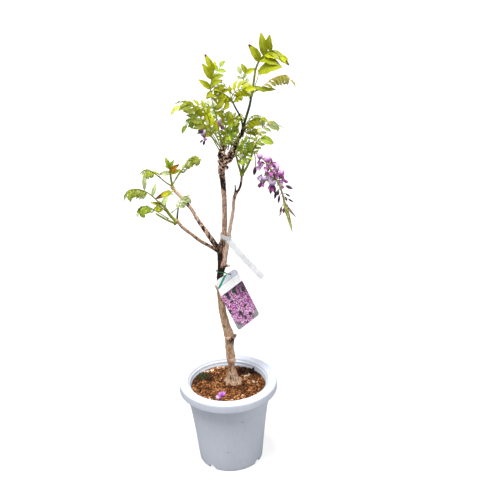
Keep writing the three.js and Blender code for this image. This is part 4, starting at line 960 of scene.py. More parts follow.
shoot = Shoot("shoot_top", "fresh")
shoot.stem((45, 15, 652, 2.3), (47.5, 15, 661, 2.3), (56.5, 14, 690, 2.1), (60, 13, 708, 1.8))
shoot.leaf([(60, 13, 706), (64.5, 12, 731), (68.5, 10, 754), (75, 10, 768), (84, 8, 778), (94, 2, 787),
           (103, -5, 785), (109, -12, 779)], pairs=0, size=14, slim=0.45, thick=4.2)
shoot.leaf([(60, 13, 706), (67, 9, 727), (71, 5, 740), (73, 2, 750)], pairs=0, size=8)
shoot.comb([(60, 13, 709), (73, 18, 717), (83, 24, 721), (95, 32, 728), (110, 40, 731), (121, 46, 729),
           (127, 49, 719)], 0.34, 8, 19.5, slim=0.33, seed=331, skin="bronze", rachis="pink")
shoot.leaf([(58, 14, 699), (52, 24, 712), (47, 32, 724), (53, 40, 739)], pairs=0, size=6)
shoot.leaf([(48, 15, 664), (46, 8, 670), (43, 2, 673)], 0.2, 2, 10, slim=0.55, droop=25, face=VIEW,
           seed=233)
shoot.leaf([(56, 14, 685), (58, 20, 700), (54, 34, 713), (49, 42, 722), (44, 50, 733)], 0.36, 4, 15,
           droop=40, face=VIEW, seed=32, skin="pale")
shoot.leaflet((75, 10, 768), (58.5, 4, 797.5), 14.5, (0.3, -0.9, 0.3))
shoot.leaflet((84, 8, 778), (78.5, 10, 814.3), 14, (0.1, -0.95, 0.1))
shoot.leaflet((94, 2, 787), (92, -2, 814), 13.5, (-0.5, -0.8, 0))
shoot.leaflet((77, 8, 769), (107, -18, 768), 17, (0.1, -0.6, 0.8))
shoot.leaflet((86, 6, 777), (111, -14, 778), 15, (0, -0.7, 0.7))
shoot.leaflet((92, 3, 782), (122, -17, 768), 14, (0.2, -0.7, 0.6))
shoot.leaflet((72, 2, 753), (109, -22, 767), 22, (-0.2, -0.7, 0.8))
shoot.leaflet((108, -11, 780), (121, -14, 775), 8)
shoot.leaflet((53, 40, 738), (45, 44, 753), 9)
shoot.leaflet((53, 40, 738), (68, 36, 746), 9)
shoot.leaflet((60, 13, 711), (80, 0, 720), 7, (0, -0.3, 1))
shoot.leaflet((66, 10, 724), (99, -14, 727), 13, (0, -0.4, 1), arch=-0.12)
shoot.finish()

shoot = Shoot("shoot_middle", "yellow")
shoot.stem((44, 13, 650, 1.8), (41, 6, 671, 1.7), (33, -4, 692, 1.5), (26, -14, 712, 1.2))
shoot.leaf([(26, -14, 711), (18, -22, 722), (10, -28, 728)], 0.3, 3, 17, droop=55, face=SKY, seed=41,
           skin="fresh")
shoot.leaf([(30, -9, 702), (21, -20, 712), (11, -30, 720), (3, -38, 724)], pairs=2, size=23, slim=0.52,
           droop=45, seed=42, skin="olive")
shoot.leaf([(30, -9, 704), (36, -18, 718), (44, -26, 727)], 0.35, 3, 18, slim=0.5, droop=30, seed=143,
           skin="fresh")
shoot.leaf([(26, -14, 711), (30, -22, 724), (38, -28, 732), (50, -35, 735)], 0.25, 4, 20, slim=0.5,
           droop=34, face=VIEW, seed=44)
shoot.leaf([(26, -14, 711), (22, 2, 722), (12, 4, 731), (2, -4, 731), (-4, -8, 725)], 0.3, 4, 17, slim=0.5,
           droop=45, seed=46, skin="olive")
shoot.leaf([(27, -12, 710), (38, 2, 716), (46, 10, 716), (53, 18, 711)], 0.45, 3, 11, droop=60, tuft=2,
           seed=45, skin="pale")
shoot.leaflet((28, -12, 710), (4, -24, 710), 9, skin="olive")
shoot.finish()

shoot = Shoot("shoot_tall", "fresh")
shoot.leaf([(8, -2, 620), (4, -6, 654), (1, -8, 676), (-4, -10, 700), (-7, -10, 722), (-6, -9, 740),
           (-3, -6, 751), (-1, -3, 759)], pairs=0, size=15, face=VIEW)
shoot.leaf([(-6, -9, 738), (2, 8, 749), (10, 18, 757)], 0.4, 2, 15, slim=0.55, seed=52, skin="green")
shoot.leaflet((-8, -9, 730), (-25, -14, 747), 10)
shoot.leaflet((-6, -9, 734), (13, -17, 746), 9.5, (-0.3, -0.8, 0.6))
shoot.leaflet((-4, -7, 744), (15, -8, 752), 9, (-0.2, -0.9, 0.5))
shoot.leaflet((-5, -8, 747), (-18, -12, 773), 12)
shoot.leaflet((-2, -4, 757), (-14, 2, 785), 10.5, (0.2, -0.95, 0.2))
shoot.leaflet((-1, -3, 758), (-4, -12, 776), 7)
shoot.finish()

shoot = Shoot("leaf_left_outer", "fresh")
shoot.leaf([(7, -1, 618), (-10, -14, 650), (-19, -22, 669), (-26, -28, 688), (-33, -32, 703),
           (-42, -36, 713), (-51, -40, 717), (-57, -42, 713)], 0.46, 6, 21, slim=0.44, droop=46, seed=61,
           skin="tender")
shoot.leaf([(-10, -14, 650), (-11, -18, 670), (-14, -22, 688), (-24, -26, 703), (-36, -30, 709)], 0.55, 3,
           18, slim=0.5, droop=35, face=VIEW, seed=161, skin="yellow")
shoot.finish()

shoot = Shoot("leaf_left_curled", "green")
shoot.comb([(6, 1, 617), (-10, 0, 649), (-24, -6, 663), (-32, -12, 677), (-42, -18, 681), (-49, -23, 672)],
           0.42, 7, 15.5, slim=0.5, seed=62)
shoot.finish()

shoot = Shoot("leaf_left_back", "pale")
shoot.leaf([(7, 1, 616), (-4, 24, 644), (-8, 34, 662), (-12, 42, 679), (-19, 50, 687)], 0.4, 6, 17,
           droop=30, seed=63, last=0.5)
shoot.leaf([(7, 1, 616), (2, 20, 650), (0, 34, 676), (8, 46, 700)], 0.6, 3, 15, droop=30, face=VIEW,
           seed=263)
shoot.finish()

shoot = Shoot("leaf_left_yellow", "yellow")
shoot.leaf([(8, 0, 617), (-3, 11, 640), (-15, 14, 658), (-25, 16, 673)], 0.45, 3, 23, slim=0.55, droop=25,
           face=VIEW, seed=564)
shoot.finish()

shoot = Shoot("leaf_fork_right", "fresh")
shoot.leaf([(46, 12, 653), (55, 4, 664), (64, -4, 671), (73, -10, 672)], 0.25, 4, 15, slim=0.5, droop=50,
           seed=65)
shoot.leaf([(43, 20, 631), (49, 22, 647), (58, 26, 656), (70, 30, 658)], 0.35, 4, 14, droop=45, seed=165,
           skin="pale")
shoot.finish()

shoot = Shoot("leaf_fork_pale", "pale")
shoot.comb([(46, 17, 650), (55, 38, 655), (66, 52, 658), (78, 60, 651), (87, 62, 640)], 0.4, 5, 16, seed=66,
           last=0.5)
shoot.leaf([(42, 16, 640), (47, 12, 645), (56, 10, 647), (65, 8, 643)], 0.25, 5, 12, slim=0.42, droop=45,
           face=VIEW, seed=366, skin="fresh")
shoot.leaflet((86.5, 62, 640), (107, 61, 627), 14, skin="tender", arch=0.15)
shoot.finish()

shoot = Shoot("leaf_fork_comb", "pale")
shoot.comb([(38, 14, 634), (34, 34, 652), (28, 44, 662), (20, 52, 666), (12, 56, 660)], 0.4, 5, 15,
           droop=60, seed=467)
shoot.leaf([(17, 8, 614), (23, 20, 634), (28, 24, 652), (31, 28, 667)], 0.5, 4, 14, slim=0.5, droop=35,
           face=VIEW, seed=167, skin="fresh", last=0.5)
shoot.finish()

shoot = Shoot("leaf_knob_back", "green")
shoot.leaf([(11, 2, 622), (13, 16, 634), (15, 27, 650), (16, 36, 662)], 0.42, 4, 16, droop=35, seed=68,
           last=0.4)
shoot.leaf([(8, 0, 617), (12, 6, 645), (16, 10, 670), (10, 8, 685), (2, 6, 697)], 0.5, 4, 16, slim=0.5,
           droop=35, seed=168, skin="fresh")
shoot.leaf([(7, 4, 621), (8, 4, 630), (5, 4, 640), (-2, 6, 650)], 0.35, 3, 9, slim=0.4, droop=30, face=VIEW,
           seed=268)
shoot.finish()

shoot = Shoot("leaf_knob_front", "green")
shoot.leaf([(12, -2, 622), (16, -20, 642), (20, -34, 656), (26, -46, 662)], 0.4, 4, 15, slim=0.46, droop=45,
           seed=69)
shoot.leaf([(13, 0, 618), (13, -4, 632), (11, -6, 645)], 0.4, 3, 10, slim=0.4, droop=30, face=VIEW,
           seed=269, skin="fresh")
shoot.leaf([(14, 4, 618), (18, 9, 632), (23, 13, 645), (29, 16, 653)], 0.15, 6, 12, slim=0.5, droop=35,
           face=VIEW, seed=369, skin="green")
shoot.leaf([(13, 2, 619), (20, 3, 625), (26, 3, 633), (31, 2, 642)], 0.3, 4, 11, slim=0.42, droop=40,
           face=VIEW, seed=469, skin="green")
shoot.finish()

shoot = Shoot("shoots_pale_stem", "tender", wood="green")
shoot.stem((39, -15, 576, 2.4), (35, -18, 593, 2.2), (32, -22, 608, 1.9), (30, -26, 619, 1.5))
shoot.stem((39, -15, 576, 2.2), (43, -13, 597, 2.1), (46, -10, 610, 1.8), (48, -2, 620, 1.3))
shoot.stem((39, -15, 576, 2.1), (46, -17, 588, 2), (52, -22, 602, 1.8), (57, -30, 618, 1.5),
           (60, -37, 634, 1.2))
shoot.leaf([(30, -26, 618), (33, -32, 628), (35, -38, 637)], 0.15, 4, 12, slim=0.42, droop=37, seed=571,
           skin="green")
shoot.leaf([(34, -22, 606), (39, -37, 614), (45, -52, 621), (51, -64, 625)], 0.25, 5, 14, slim=0.46,
           droop=50, seed=72, skin="green")
shoot.leaf([(45, -12, 604), (48, -20, 614), (53, -24, 630), (61, -28, 641)], 0.3, 6, 13, slim=0.46,
           droop=40, seed=172, skin="green")
shoot.leaf([(45, -12, 604), (44, -14, 618), (47, -12, 634)], 0.3, 5, 13, slim=0.46, droop=30, face=VIEW,
           seed=173, skin="green")
shoot.leaf([(36, -18, 600), (38, -20, 610), (43, -24, 619)], 0.35, 4, 11, slim=0.45, droop=45, face=VIEW,
           seed=373, skin="tender")
shoot.leaf([(50, -22, 600), (60, -16, 622), (73, -8, 634)], 0.4, 3, 13, slim=0.42, droop=45, seed=174)
shoot.leaf([(48, -2, 619), (54, 18, 628), (60, 32, 636), (68, 44, 634)], 0.4, 3, 15, slim=0.4, droop=55,
           seed=273)
shoot.leaf([(60, -37, 633), (67, -28, 648), (74, -21, 658), (84, -14, 663), (95, -6, 665), (105, 0, 656)],
           0.35, 5, 15, slim=0.42, droop=48, seed=574, skin="pale", rachis="pink", last=0.7)
shoot.leaf([(60, -37, 633), (66, -41, 646), (73, -44, 653)], 0.55, 1, 9, slim=0.5, droop=42, seed=675)
shoot.leaflet((73, -44, 654), (93, -46, 643), 13.5, skin="green")
shoot.finish()

shoot = Shoot("shoot_high_branch", "tender", wood="green")
shoot.stem((-81, 26, 540, 2.2), (-83, 25, 556, 2.0), (-84, 22, 579, 1.6), (-86, 20, 590, 1.2))
shoot.comb([(-82, 26, 543), (-93, 18, 555), (-101, 10, 567), (-109, 2, 578), (-117, -6, 587),
           (-123, -12, 588), (-126, -16, 583)], 0.66, 5, 13, slim=0.6, droop=50, seed=282, thick=2.6,
           last=0.3)
shoot.comb([(-82, 26, 545), (-73, 34, 556), (-65, 40, 565), (-58, 47, 574), (-49, 54, 582), (-39, 58, 583),
           (-32, 60, 576)], 0.5, 7, 16, slim=0.6, seed=83, thick=2.6, last=0.2)
shoot.leaf([(-75, 32, 555), (-68, 30, 567), (-61, 27, 575), (-55, 24, 582)], 0.4, 3, 10, slim=0.55,
           droop=50, face=VIEW, seed=383, skin="pale")
shoot.leaflet((-85, 20, 582), (-90.5, 18, 600), 8, skin="green")
shoot.leaflet((-84, 20, 579), (-76, 20, 594), 7, skin="green")
shoot.leaflet((-84, 20, 578), (-92, 20, 584), 5, skin="yellow")
shoot.leaflet((-84, 23, 572), (-68, 16, 587), 9, skin="orange", rust=0.3)
shoot.leaflet((-82, 22, 568), (-65, 18, 576), 8, skin="yellow", rust=0.1)
shoot.leaflet((-84, 22, 569), (-102, 20, 569), 9, skin="pale")
shoot.leaflet((-99, 10, 566), (-113, 0, 583), 8, SKY, skin="yellow", rust=0.1)
shoot.leaflet((-125, -14, 586), (-127, -17, 555), 8, skin="pale")
shoot.finish()

shoot = Shoot("shoot_low_branch", "tender", wood="green")
shoot.stem((-75, -36, 504, 2.7), (-85, -39, 518, 2.7), (-94, -43, 536, 2.4), (-102, -47, 547, 1.9))
shoot.stem((-76, -36, 500, 2), (-91, -48, 514, 1.8), (-107, -60, 531, 1.6))
shoot.stem((-83, -34, 521, 0.9), (-75, -30, 524, 0.8), (-68, -24, 529, 0.7))
shoot.stem((-99, -44, 540, 0.9), (-108, -46, 546, 0.8), (-116, -48, 546, 0.7))
shoot.comb([(-102, -47, 546), (-111, -52, 559), (-120, -58, 570), (-132, -66, 579), (-142, -73, 582),
           (-150, -79, 579), (-154, -82, 571)], 0.37, 9, 17.5, slim=0.36, seed=391, thick=2.4, last=0.3)
shoot.leaf([(-120, -57, 569), (-124, -60, 569), (-132, -66, 570)], 0.2, 2, 10, slim=0.5, droop=60, seed=491,
           skin="pale")
shoot.leaf([(-92, -42, 536), (-90, -34, 545), (-86, -22, 550), (-80, -8, 548)], 0.6, 1, 9, droop=40,
           seed=92)
shoot.comb([(-88, -44, 514), (-98, -53, 526), (-107, -60, 536), (-117, -66, 546), (-126, -71, 549),
           (-132, -74, 545), (-135, -76, 538)], 0.58, 6, 16, slim=0.55, droop=60, seed=1293, skin="green",
           last=0.3)
shoot.leaf([(-92, -42, 527), (-98, -45, 535), (-106, -48, 541)], 0.3, 3, 11, slim=0.55, droop=45, seed=294,
           skin="fresh")
shoot.leaf([(-105, -58, 534), (-112, -62, 540), (-118, -65, 543)], 0.3, 2, 9, slim=0.5, droop=55, seed=394,
           skin="pale")
shoot.leaflet((-113, -52, 559), (-105, -42, 578), 7, skin="pale")
shoot.leaflet((-97, -42, 541), (-86, -36, 552), 9, skin="pale")
shoot.leaflet((-98, -44, 541), (-112, -44, 543), 6, skin="fresh")
shoot.leaflet((-80, -12, 550), (-107, -38, 549), 10, skin="yellow", rust=0.55)
shoot.finish()

shoot = Shoot("leaf_low_branch_pale", "pale")
shoot.stem((-74, -34, 504, 1.8), (-73, -30, 514, 1.7), (-71, -24, 524, 1.3))
shoot.comb([(-74, -34, 506), (-72, -28, 519), (-69, -20, 530), (-62, -12, 538), (-52, -6, 538)], 0.4, 5, 17,
           droop=60, seed=594, last=0.2)
shoot.finish()

# ---------- flowers ----------
# Pea flowers hang on thin stalks along a drooping raceme and open from the top down: a lilac
# standard bent back, violet wings round a dark keel, and below them closed buds and green tips.

RACEME = [
    (57, -34, 620, 1.2), (61, -37, 626, 1.4), (67, -42, 623, 1.4), (74, -48, 618, 1.4),
    (81, -58, 614, 1.4), (89, -62, 599, 1.5), (98, -62, 581, 1.5), (104, -62, 564, 1.5),
    (108, -61, 545, 1.6), (113, -59, 526, 2.6), (116, -58, 512, 2.0), (119, -58, 498, 1.2),
    (120, -58, 490, 0.6),
]
RACEME_FLOWERS = [  # where the stalk leaves, where the flower sits, which way it faces, size
    ((69, -43, 622), (69, -52, 618), (-0.4, -0.85, -0.3), 13),
    ((76, -46, 615), (82, -58, 613), (0.1, -0.95, -0.2), 15),
    ((77, -46, 614), (89, -44, 609), (0.7, 0.3, -0.1), 15),
    ((84, -48, 605), (75, -58, 580), (-0.4, -0.8, -0.4), 15),
    ((84, -48, 605), (70, -48, 575), (-0.7, -0.4, -0.5), 13),
    ((92, -50, 590), (86, -58, 576), (-0.4, -0.8, -0.5), 17),
    ((90, -50, 594), (98, -55, 597), (0.5, -0.8, -0.1), 15),
    ((89, -50, 596), (98, -42, 592), (0.75, 0.6, -0.1), 15),
    ((94, -51, 585), (105, -58, 588), (0.5, -0.8, -0.3), 15),
    ((95, -51, 583), (107, -50, 580), (0.9, -0.2, -0.3), 15),
    ((98, -52, 575), (104, -55, 573), (0.4, -0.8, -0.4), 13),
    ((92, -60, 592), (89, -62, 574), (-0.1, -0.8, -0.7), 15),
    ((95, -51, 582), (92, -41, 572), (-0.3, 0.85, -0.4), 14),
]
RACEME_BUDS = [  # where the stalk leaves, the bud's foot, its tip, its radius
    ((83, -48, 607), (90, -54, 609), (96, -58, 606), 2.2),
    ((101, -58, 570), (112, -56, 571), (123, -54, 564), 2.8),
    ((92, -61, 592), (87, -62, 574), (85, -63, 560), 3.2),
    ((94, -61, 590), (92, -62, 574), (92, -63, 561), 2.8),
    ((84, -58, 600), (72, -60, 580), (66, -61, 571), 2.6),
    ((84, -61, 606), (91, -64, 600), (93, -65, 590), 2.6),
    ((100, -53, 570), (95, -57, 561), (92, -59, 549), 2.5),
    ((103, -53, 562), (100, -58, 554), (98, -61, 542), 2.3),
    ((105, -54, 553), (110, -54, 550), (113, -54, 542), 2),
    ((103, -53, 561), (111, -52, 555), (119, -52, 549), 1.6),
    ((105, -54, 552), (115, -56, 547), (124, -57, 541), 1.6),
    ((107, -55, 543), (103, -59, 534), (100, -61, 522), 1.8),
    ((109, -56, 537), (107, -61, 532), (106, -63, 524), 2),
    ((108, -55, 541), (115, -53, 530), (123, -53, 516), 1.9),
    ((101, -53, 567), (99, -46, 558), (98, -41, 547), 2.2),
]
BRACTS = [
    ((112, -60, 540), (116, -58, 530), (128, -57, 512)),
    ((110, -61, 536), (103, -62, 528), (99, -62, 519)),
]
FLOWER_SCALE = 0.86
CONE = {"buds": 120, "start": (107, -60, 546), "end": (120, -58, 489)}
PETALS = {"count": 26, "from": 0.17, "to": 0.46}  # along the raceme


def standard_edge(u):
    """Half width of the broad upper petal."""
    return 0.16 + 0.84 * np.sin(np.pi * np.clip(u, 0, 1) ** 1.25 * 0.84) ** 0.6


def wing_edge(u):
    """Half width of a spoon-shaped side petal."""
    return 0.14 + 0.86 * np.sin(np.pi * np.clip(u, 0, 0.97) ** 1.5) ** 0.7


def petal_skin(name, outer, inner, throat, share=0.3):
    """A petal's material: its colour deepens to the foot, with fine lines along it."""
    material, tree, shader = blank(name, outer, 0.55, Sheen_Weight=0.15)
    along, across, tone = axes(tree, painted(tree, "blade_place", "Vector"))
    cloud = mottled(tree, 220.0, 2.4)["Height"]
    depth = (tone - 0.5) * 0.4 + ((cloud - 0.5) * 0.5 + along)
    colour = depth.between(0.28, 0.72).mix(inner, outer)
    colour = along.between(0.22, 0.06).mix(colour, throat)
    lines = (across * 34.0).maths("SINE")
    feed(shader["Base Color"], colour)
    feed(shader["Normal"], (cloud + lines * 0.3).bump(0.5, 0.2))
    see_through(tree, share, colour)
    return material


STANDARD = petal_skin("petal_standard", tint(228, 190, 228), tint(192, 100, 182), tint(236, 214, 170))
WING = petal_skin("petal_wing", tint(196, 92, 178), tint(112, 24, 104), tint(66, 8, 54))
LILAC = petal_skin("petal_lilac", tint(228, 208, 232), tint(184, 128, 190), tint(96, 30, 96))
BUD = petal_skin("petal_bud", tint(92, 34, 78), tint(50, 10, 42), tint(84, 62, 40), share=0.1)
STALK = stalk_skin("raceme_stalk", tint(158, 162, 74), tint(98, 78, 52))
TIP = stalk_skin("raceme_tip", tint(222, 228, 138), tint(160, 166, 70))
BRACT = stalk_skin("raceme_bract", tint(176, 146, 122), tint(112, 80, 74))


def pea_flower(growth, from_stem, at, out, size, tone, skin=STANDARD):
    """A pea flower: its pedicel and calyx, the standard bent back, two wings and the keel."""
    ahead = unit(out)
    rise = square_to((0, -0.15, 1), ahead)
    side = np.cross(ahead, rise)
    heart = np.asarray(at, float)
    sag = (np.asarray(from_stem) + heart) / 2 - (0, 0, 0.6)
    stalk(growth, [(*from_stem, 0.55), (*sag, 0.5), (*heart, 0.7)], STALK, tone, sides=6, per=4)
    calyx = heart - ahead * 0.2 * size, heart + ahead * 0.16 * size
    spindle(growth, *calyx, 0.15 * size, BUD, 0.45, tone=0.9)
    blade(growth, heart, -0.08 * ahead + 0.85 * rise, ahead, 0.9 * size, size, skin,
          standard_edge, fold=-0.1, cup=-0.32, wave=0.07, hook=0.22, notch=0.12, tone=tone, columns=12)
    for hand in (-1, 1):
        root = heart + side * hand * 0.05 * size
        lean = unit(0.75 * ahead - 0.16 * rise + hand * 0.1 * side)
        blade(growth, root, lean, hand * side + 0.35 * rise, 0.74 * size, 0.4 * size, WING, wing_edge,
              fold=0.0, cup=-0.55, wave=0.02, tone=tone, rows=9, columns=6)
    keel = heart + ahead * 0.66 * size - rise * 0.16 * size
    spindle(growth, heart, keel, 0.13 * size, BUD, 0.6, 0.7, tone=0.2)


def closed_bud(growth, from_stem, at, tip, radius, tone):
    """A closed bud in its calyx on a bent pedicel."""
    at, tip = np.asarray(at, float), np.asarray(tip, float)
    length = tip - at
    stalk(growth, [(*from_stem, 0.5), (*at, 0.6), (*(at + 0.2 * length), 0.6)], STALK, tone, 6, 5)
    spindle(growth, at, tip, radius, BUD, 0.42, tone=tone)
    spindle(growth, at - 0.1 * length, at + 0.42 * length, radius * 0.86, BUD, 0.55, tone=0.95)


growth = Growth()
draw = seeded(77)
stalk(growth, RACEME, STALK, sides=10)
for from_stem, at, out, size in RACEME_FLOWERS:
    skin = LILAC if at[0] < 92 and at[2] < 590 else STANDARD
    pea_flower(growth, nearest_on([RACEME], from_stem), at, out, FLOWER_SCALE * size, draw(), skin)

# Crumpled petals of the flowers behind fill the gaps round the stalk.
course = evenly(RACEME, 100)[0]
for k in range(PETALS["count"]):
    t = PETALS["from"] + (PETALS["to"] - PETALS["from"]) * (k + draw()) / PETALS["count"]
    turn = GOLDEN * k + draw()
    out = unit((math.cos(turn), 0.9 * math.sin(turn), 0.5 * draw() - 0.45))
    root = course[int(100 * t)] + (1, 7, -5) + out * (2 + 5 * draw())
    loose = np.array((draw() - 0.5, draw() - 0.5, draw() - 0.7))
    skin, edge = (STANDARD, standard_edge) if k % 3 else (WING, wing_edge)
    blade(growth, root, out + loose, (0.8 * loose[0], -0.9, 0.6), 7 + 5 * draw(), 6 + 4 * draw(), skin, edge,
          fold=0, cup=0.8 * draw() - 0.4, wave=0.12, hook=0.4 * draw() - 0.1, tone=draw(), rows=8, columns=6)
for from_stem, at, tip, radius in RACEME_BUDS:
    closed_bud(growth, nearest_on([RACEME], from_stem), at, tip, radius, 0.2 + 0.5 * draw())

# The raceme ends in a cone of green buds, with a few brown bracts among and beside them.
start, end = np.array(CONE["start"], float), np.array(CONE["end"], float)
axis = unit(end - start)
side = unit(np.cross(axis, (0, 1, 0)))
front = np.cross(side, axis)
for k in range(CONE["buds"]):
    t = k / CONE["buds"]
    turn = GOLDEN * k
    out = math.cos(turn) * side + math.sin(turn) * front
    girth = 2.2 + 4 * t if t < 0.3 else 3.9 * (1 - t) ** 0.7 + 0.2
    root = start + (end - start) * t + out * 0.25 * girth
    tip = root + out * 0.85 * girth + axis * (3.6 + 1.6 * (1 - t))
    skin = BRACT if k % 5 == 0 and out[0] > 0 else TIP
    spindle(growth, root, tip, 1.3 - 0.75 * t, skin, 0.4, tone=draw(), sides=6, rows=5)
for root, elbow, tip in BRACTS:
    stalk(growth, [(*root, 0.8), (*elbow, 0.9), (*tip, 0.5)], BRACT, sides=6)
    spindle(growth, elbow, tip, 1.4, BRACT, 0.4)

# One late bud hangs by itself beside the raceme, with two torn petals.
heart = np.array((62, -41, 600))
stalk(growth, [(61, -37, 625.5, 1.1), (62.5, -40, 612, 0.9), (*heart, 1)], STALK)
spindle(growth, heart, (59, -42, 586), 3.2, BUD, 0.45, tone=0.1)
spindle(growth, heart + (0.3, 0, 1.6), (60, -41.5, 594), 2.4, BUD, tone=0.9)
blade(growth, heart, (8, -1, -3), VIEW, 9.5, 8, LILAC, standard_edge, cup=0.3, tone=0.7)
blade(growth, (72, -57, 594), (-6, -1, -9), VIEW, 12, 7, LILAC, wing_edge, cup=0.4, tone=0.8)
growth.piece("raceme_flowers", "petal", "raceme")

growth = Growth()
stalk(growth, [(5, -3, 613, 1.1), (-1, -15, 631, 1), (-9, -21, 649, 1), (-16, -24, 656, 0.9),
               (-21, -26, 649, 0.8)], STALK)
pea_flower(growth, (-17, -24, 655), (-22, -27, 653), (0.6, -0.7, -0.4), 12, 0.4, LILAC)
closed_bud(growth, (-17, -24, 656), (-22, -28, 662), (-31, -29, 665), 4, 0.1)
closed_bud(growth, (-21, -26, 649), (-21, -26, 645), (-23, -27, 637), 2.2, 0.1)
closed_bud(growth, (-21, -26, 649), (-24, -26, 646), (-29, -27, 642), 1.6, 0.4)
growth.piece("raceme_small_flowers", "petal", "raceme_small")

growth = Growth()
pea_flower(growth, (1.6, -8, 671), (6, -14, 666), (0.8, -0.5, -0.3), 12, 0.1)
growth.piece("flower_single_petals", "petal", "flower_single")


# ---------- label card ----------
# A nursery label of printed sheet plastic. Its header is white with a teal band and a thin
# green line, and below it stands a printed bed of pink and violet florets, with no lettering.

CARD = {"width": 50, "picture": 76, "header": 30, "thickness": 0.7, "hole": (34, 24), "bore": 1.6}
CARD_CORNER = np.array((-6, -17, 346.5))
CARD_RIGHT = unit((0.77, 0.553, 0.317))
CARD_UP = square_to((-0.381, 0, 0.925), CARD_RIGHT)
CARD_OUT = np.cross(CARD_RIGHT, CARD_UP)
PRINT = {"dark": tint(14, 12, 14), "green": tint(48, 62, 38), "magenta": tint(214, 96, 190),
         "pink": tint(250, 188, 234), "white": tint(255, 236, 252), "grey": tint(150, 148, 152),
         "violet": tint(96, 30, 90), "teal": tint(0, 150, 118), "lilac": tint(222, 222, 242),
         "header": tint(240, 240, 246), "field": tint(254, 254, 255), "line": tint(90, 160, 110),
         "back": tint(250, 250, 252)}
LINE_AT = 16.5  # the green line's height above the picture
BAND_AT = 13.4


def on_card(a, b, c=0.0):
    """A point `a` to the right, `b` up from the picture's upper edge and `c` proud of the card."""
    return CARD_CORNER + CARD_RIGHT * a + CARD_UP * b + CARD_OUT * c


width, drop, top = CARD["width"], -CARD["picture"], CARD["header"]
outline = (bend((width - 5, drop), (width, drop), (width, drop + 5), 8)
           + bend((width, top - 10), (width, top - 3), (width - 8, top - 2), 8)
           + bend((12, top), (5, top), (3, top - 7), 8) + [(0, 0)]
           + bend((0, drop + 5), (0, drop), (5, drop), 8))
hole = [(CARD["hole"][0] + a, CARD["hole"][1] + b) for a, b in circle(24, CARD["bore"])]
flat = bmesh.new()
for loop in (outline, hole):
    corners = [flat.verts.new((a, b, 0)) for a, b in loop]
    for k in range(len(corners)):
        flat.edges.new((corners[k - 1], corners[k]))
bmesh.ops.triangle_fill(flat, use_beauty=True, edges=flat.edges)
places = [(v.co.x, v.co.y, c) for c in (0.0, CARD["thickness"]) for v in flat.verts]
flat.verts.index_update()
count = len(flat.verts)
faces = [tuple(v.index for v in f.verts) for f in flat.faces]
faces += [tuple(i + count for i in face) for face in faces]
faces += [(a.index, b.index, b.index + count, a.index + count)
          for a, b in (edge.verts for edge in flat.edges if len(edge.link_faces) == 1)]
flat.free()

# The picture is massed florets with dark gaps, which thin out to grey at the foot.
printed, tree, shader = blank("label_print", (1, 1, 1), 0.3, Coat_Weight=0.35, Coat_Roughness=0.15)
spot = painted(tree, "card_place", "Vector")
a, b, c = axes(tree, spot)
flatten = node(tree, "VectorMath", {0: spot, 1: (1, 1, 0)}, operation="MULTIPLY")[0]
warp = node(tree, "TexNoise", {"Vector": flatten, "Scale": 0.14, "Detail": 2.0})["Color"]
bent = node(tree, "VectorMath", {0: warp, 1: (9, 9, 0), 2: flatten}, operation="MULTIPLY_ADD")[0]
florets = node(tree, "TexVoronoi", {"Vector": bent, "Scale": 0.52}, feature="F1", voronoi_dimensions="2D")
petals = florets["Distance"].between(0.62, 0.2)
pick = axes(tree, florets["Color"])
rows = (a * 0.42 + b * 0.07).maths("SINE")
mass = node(tree, "TexNoise", {"Vector": flatten, "Scale": 0.075, "Detail": 3.0})[0] + rows * 0.1
bloom = pick[0].between(0.2, 0.8).mix(PRINT["magenta"], PRINT["pink"])
bloom = pick[1].between(0.68, 0.9).mix(bloom, PRINT["white"])
bloom = petals.between(0.1, 0.6).mix(PRINT["violet"], bloom)
shadow = a * 0.011 + b * 0.0052 + mass
bloom = shadow.between(0.66, 1.15).mix(bloom, PRINT["violet"])
ground = pick[2].between(0.35, 0.8).mix(PRINT["dark"], PRINT["green"])
massed = mass - (b * 0.05 + 0.9).maths("MAXIMUM", 0.0) * 0.24
picture = massed.between(0.33, 0.45).mix(ground, bloom)
low = abs(a - 25.0) - 2.0 - (b + CARD["picture"]) * 0.9
picture = low.between(0.0, 14.0).mix(picture, PRINT["grey"])

lean = a * -0.58 + b - BAND_AT
header = (lean * -0.06 + 0.1).between(0.0, 1.0).mix(PRINT["header"], PRINT["lilac"])
header = b.between(LINE_AT + 0.4, LINE_AT).mix(header, PRINT["field"])
header = abs(b - LINE_AT).between(0.45, 0.25).mix(header, PRINT["line"])
band = abs(lean).maths("MAXIMUM", b * -1.0 + (LINE_AT + 0.5))
header = band.between(2.7, 2.4).mix(header, PRINT["teal"])
face = b.between(-0.1, 0.1).mix(picture, header)
feed(shader["Base Color"], c.between(0.4, 0.6).mix(PRINT["back"], face))
feed(shader["Roughness"], warp.between(0.3, 0.7, 0.24, 0.36))
card = build("label_card_print", [on_card(*p) for p in places], faces, [printed],
             attributes={"card_place": places}, crease=30)
fit(card, "label_card", "label_card")


# ---------- label strap ----------
# A strip of milky polythene film, looped once round both stems above the fork and pulled
# through its own slot. Its free tail stands off to the right and sags a little.

STRAP = {"height": 8.5, "tail": 10.5, "thickness": 0.5, "z": 452.5, "gap": 0.3}
STRAP_STEMS = [(3.6, 2, 5.3), (12.6, -9.8, 4)]
STRAP_TAIL = [(12, -13.7, 455.5), (22, -16.5, 441), (38, -18.5, 420), (54, -19.5, 401), (69, -20, 382)]
TAIL_FACE = (0.15, -0.9, 0.35)


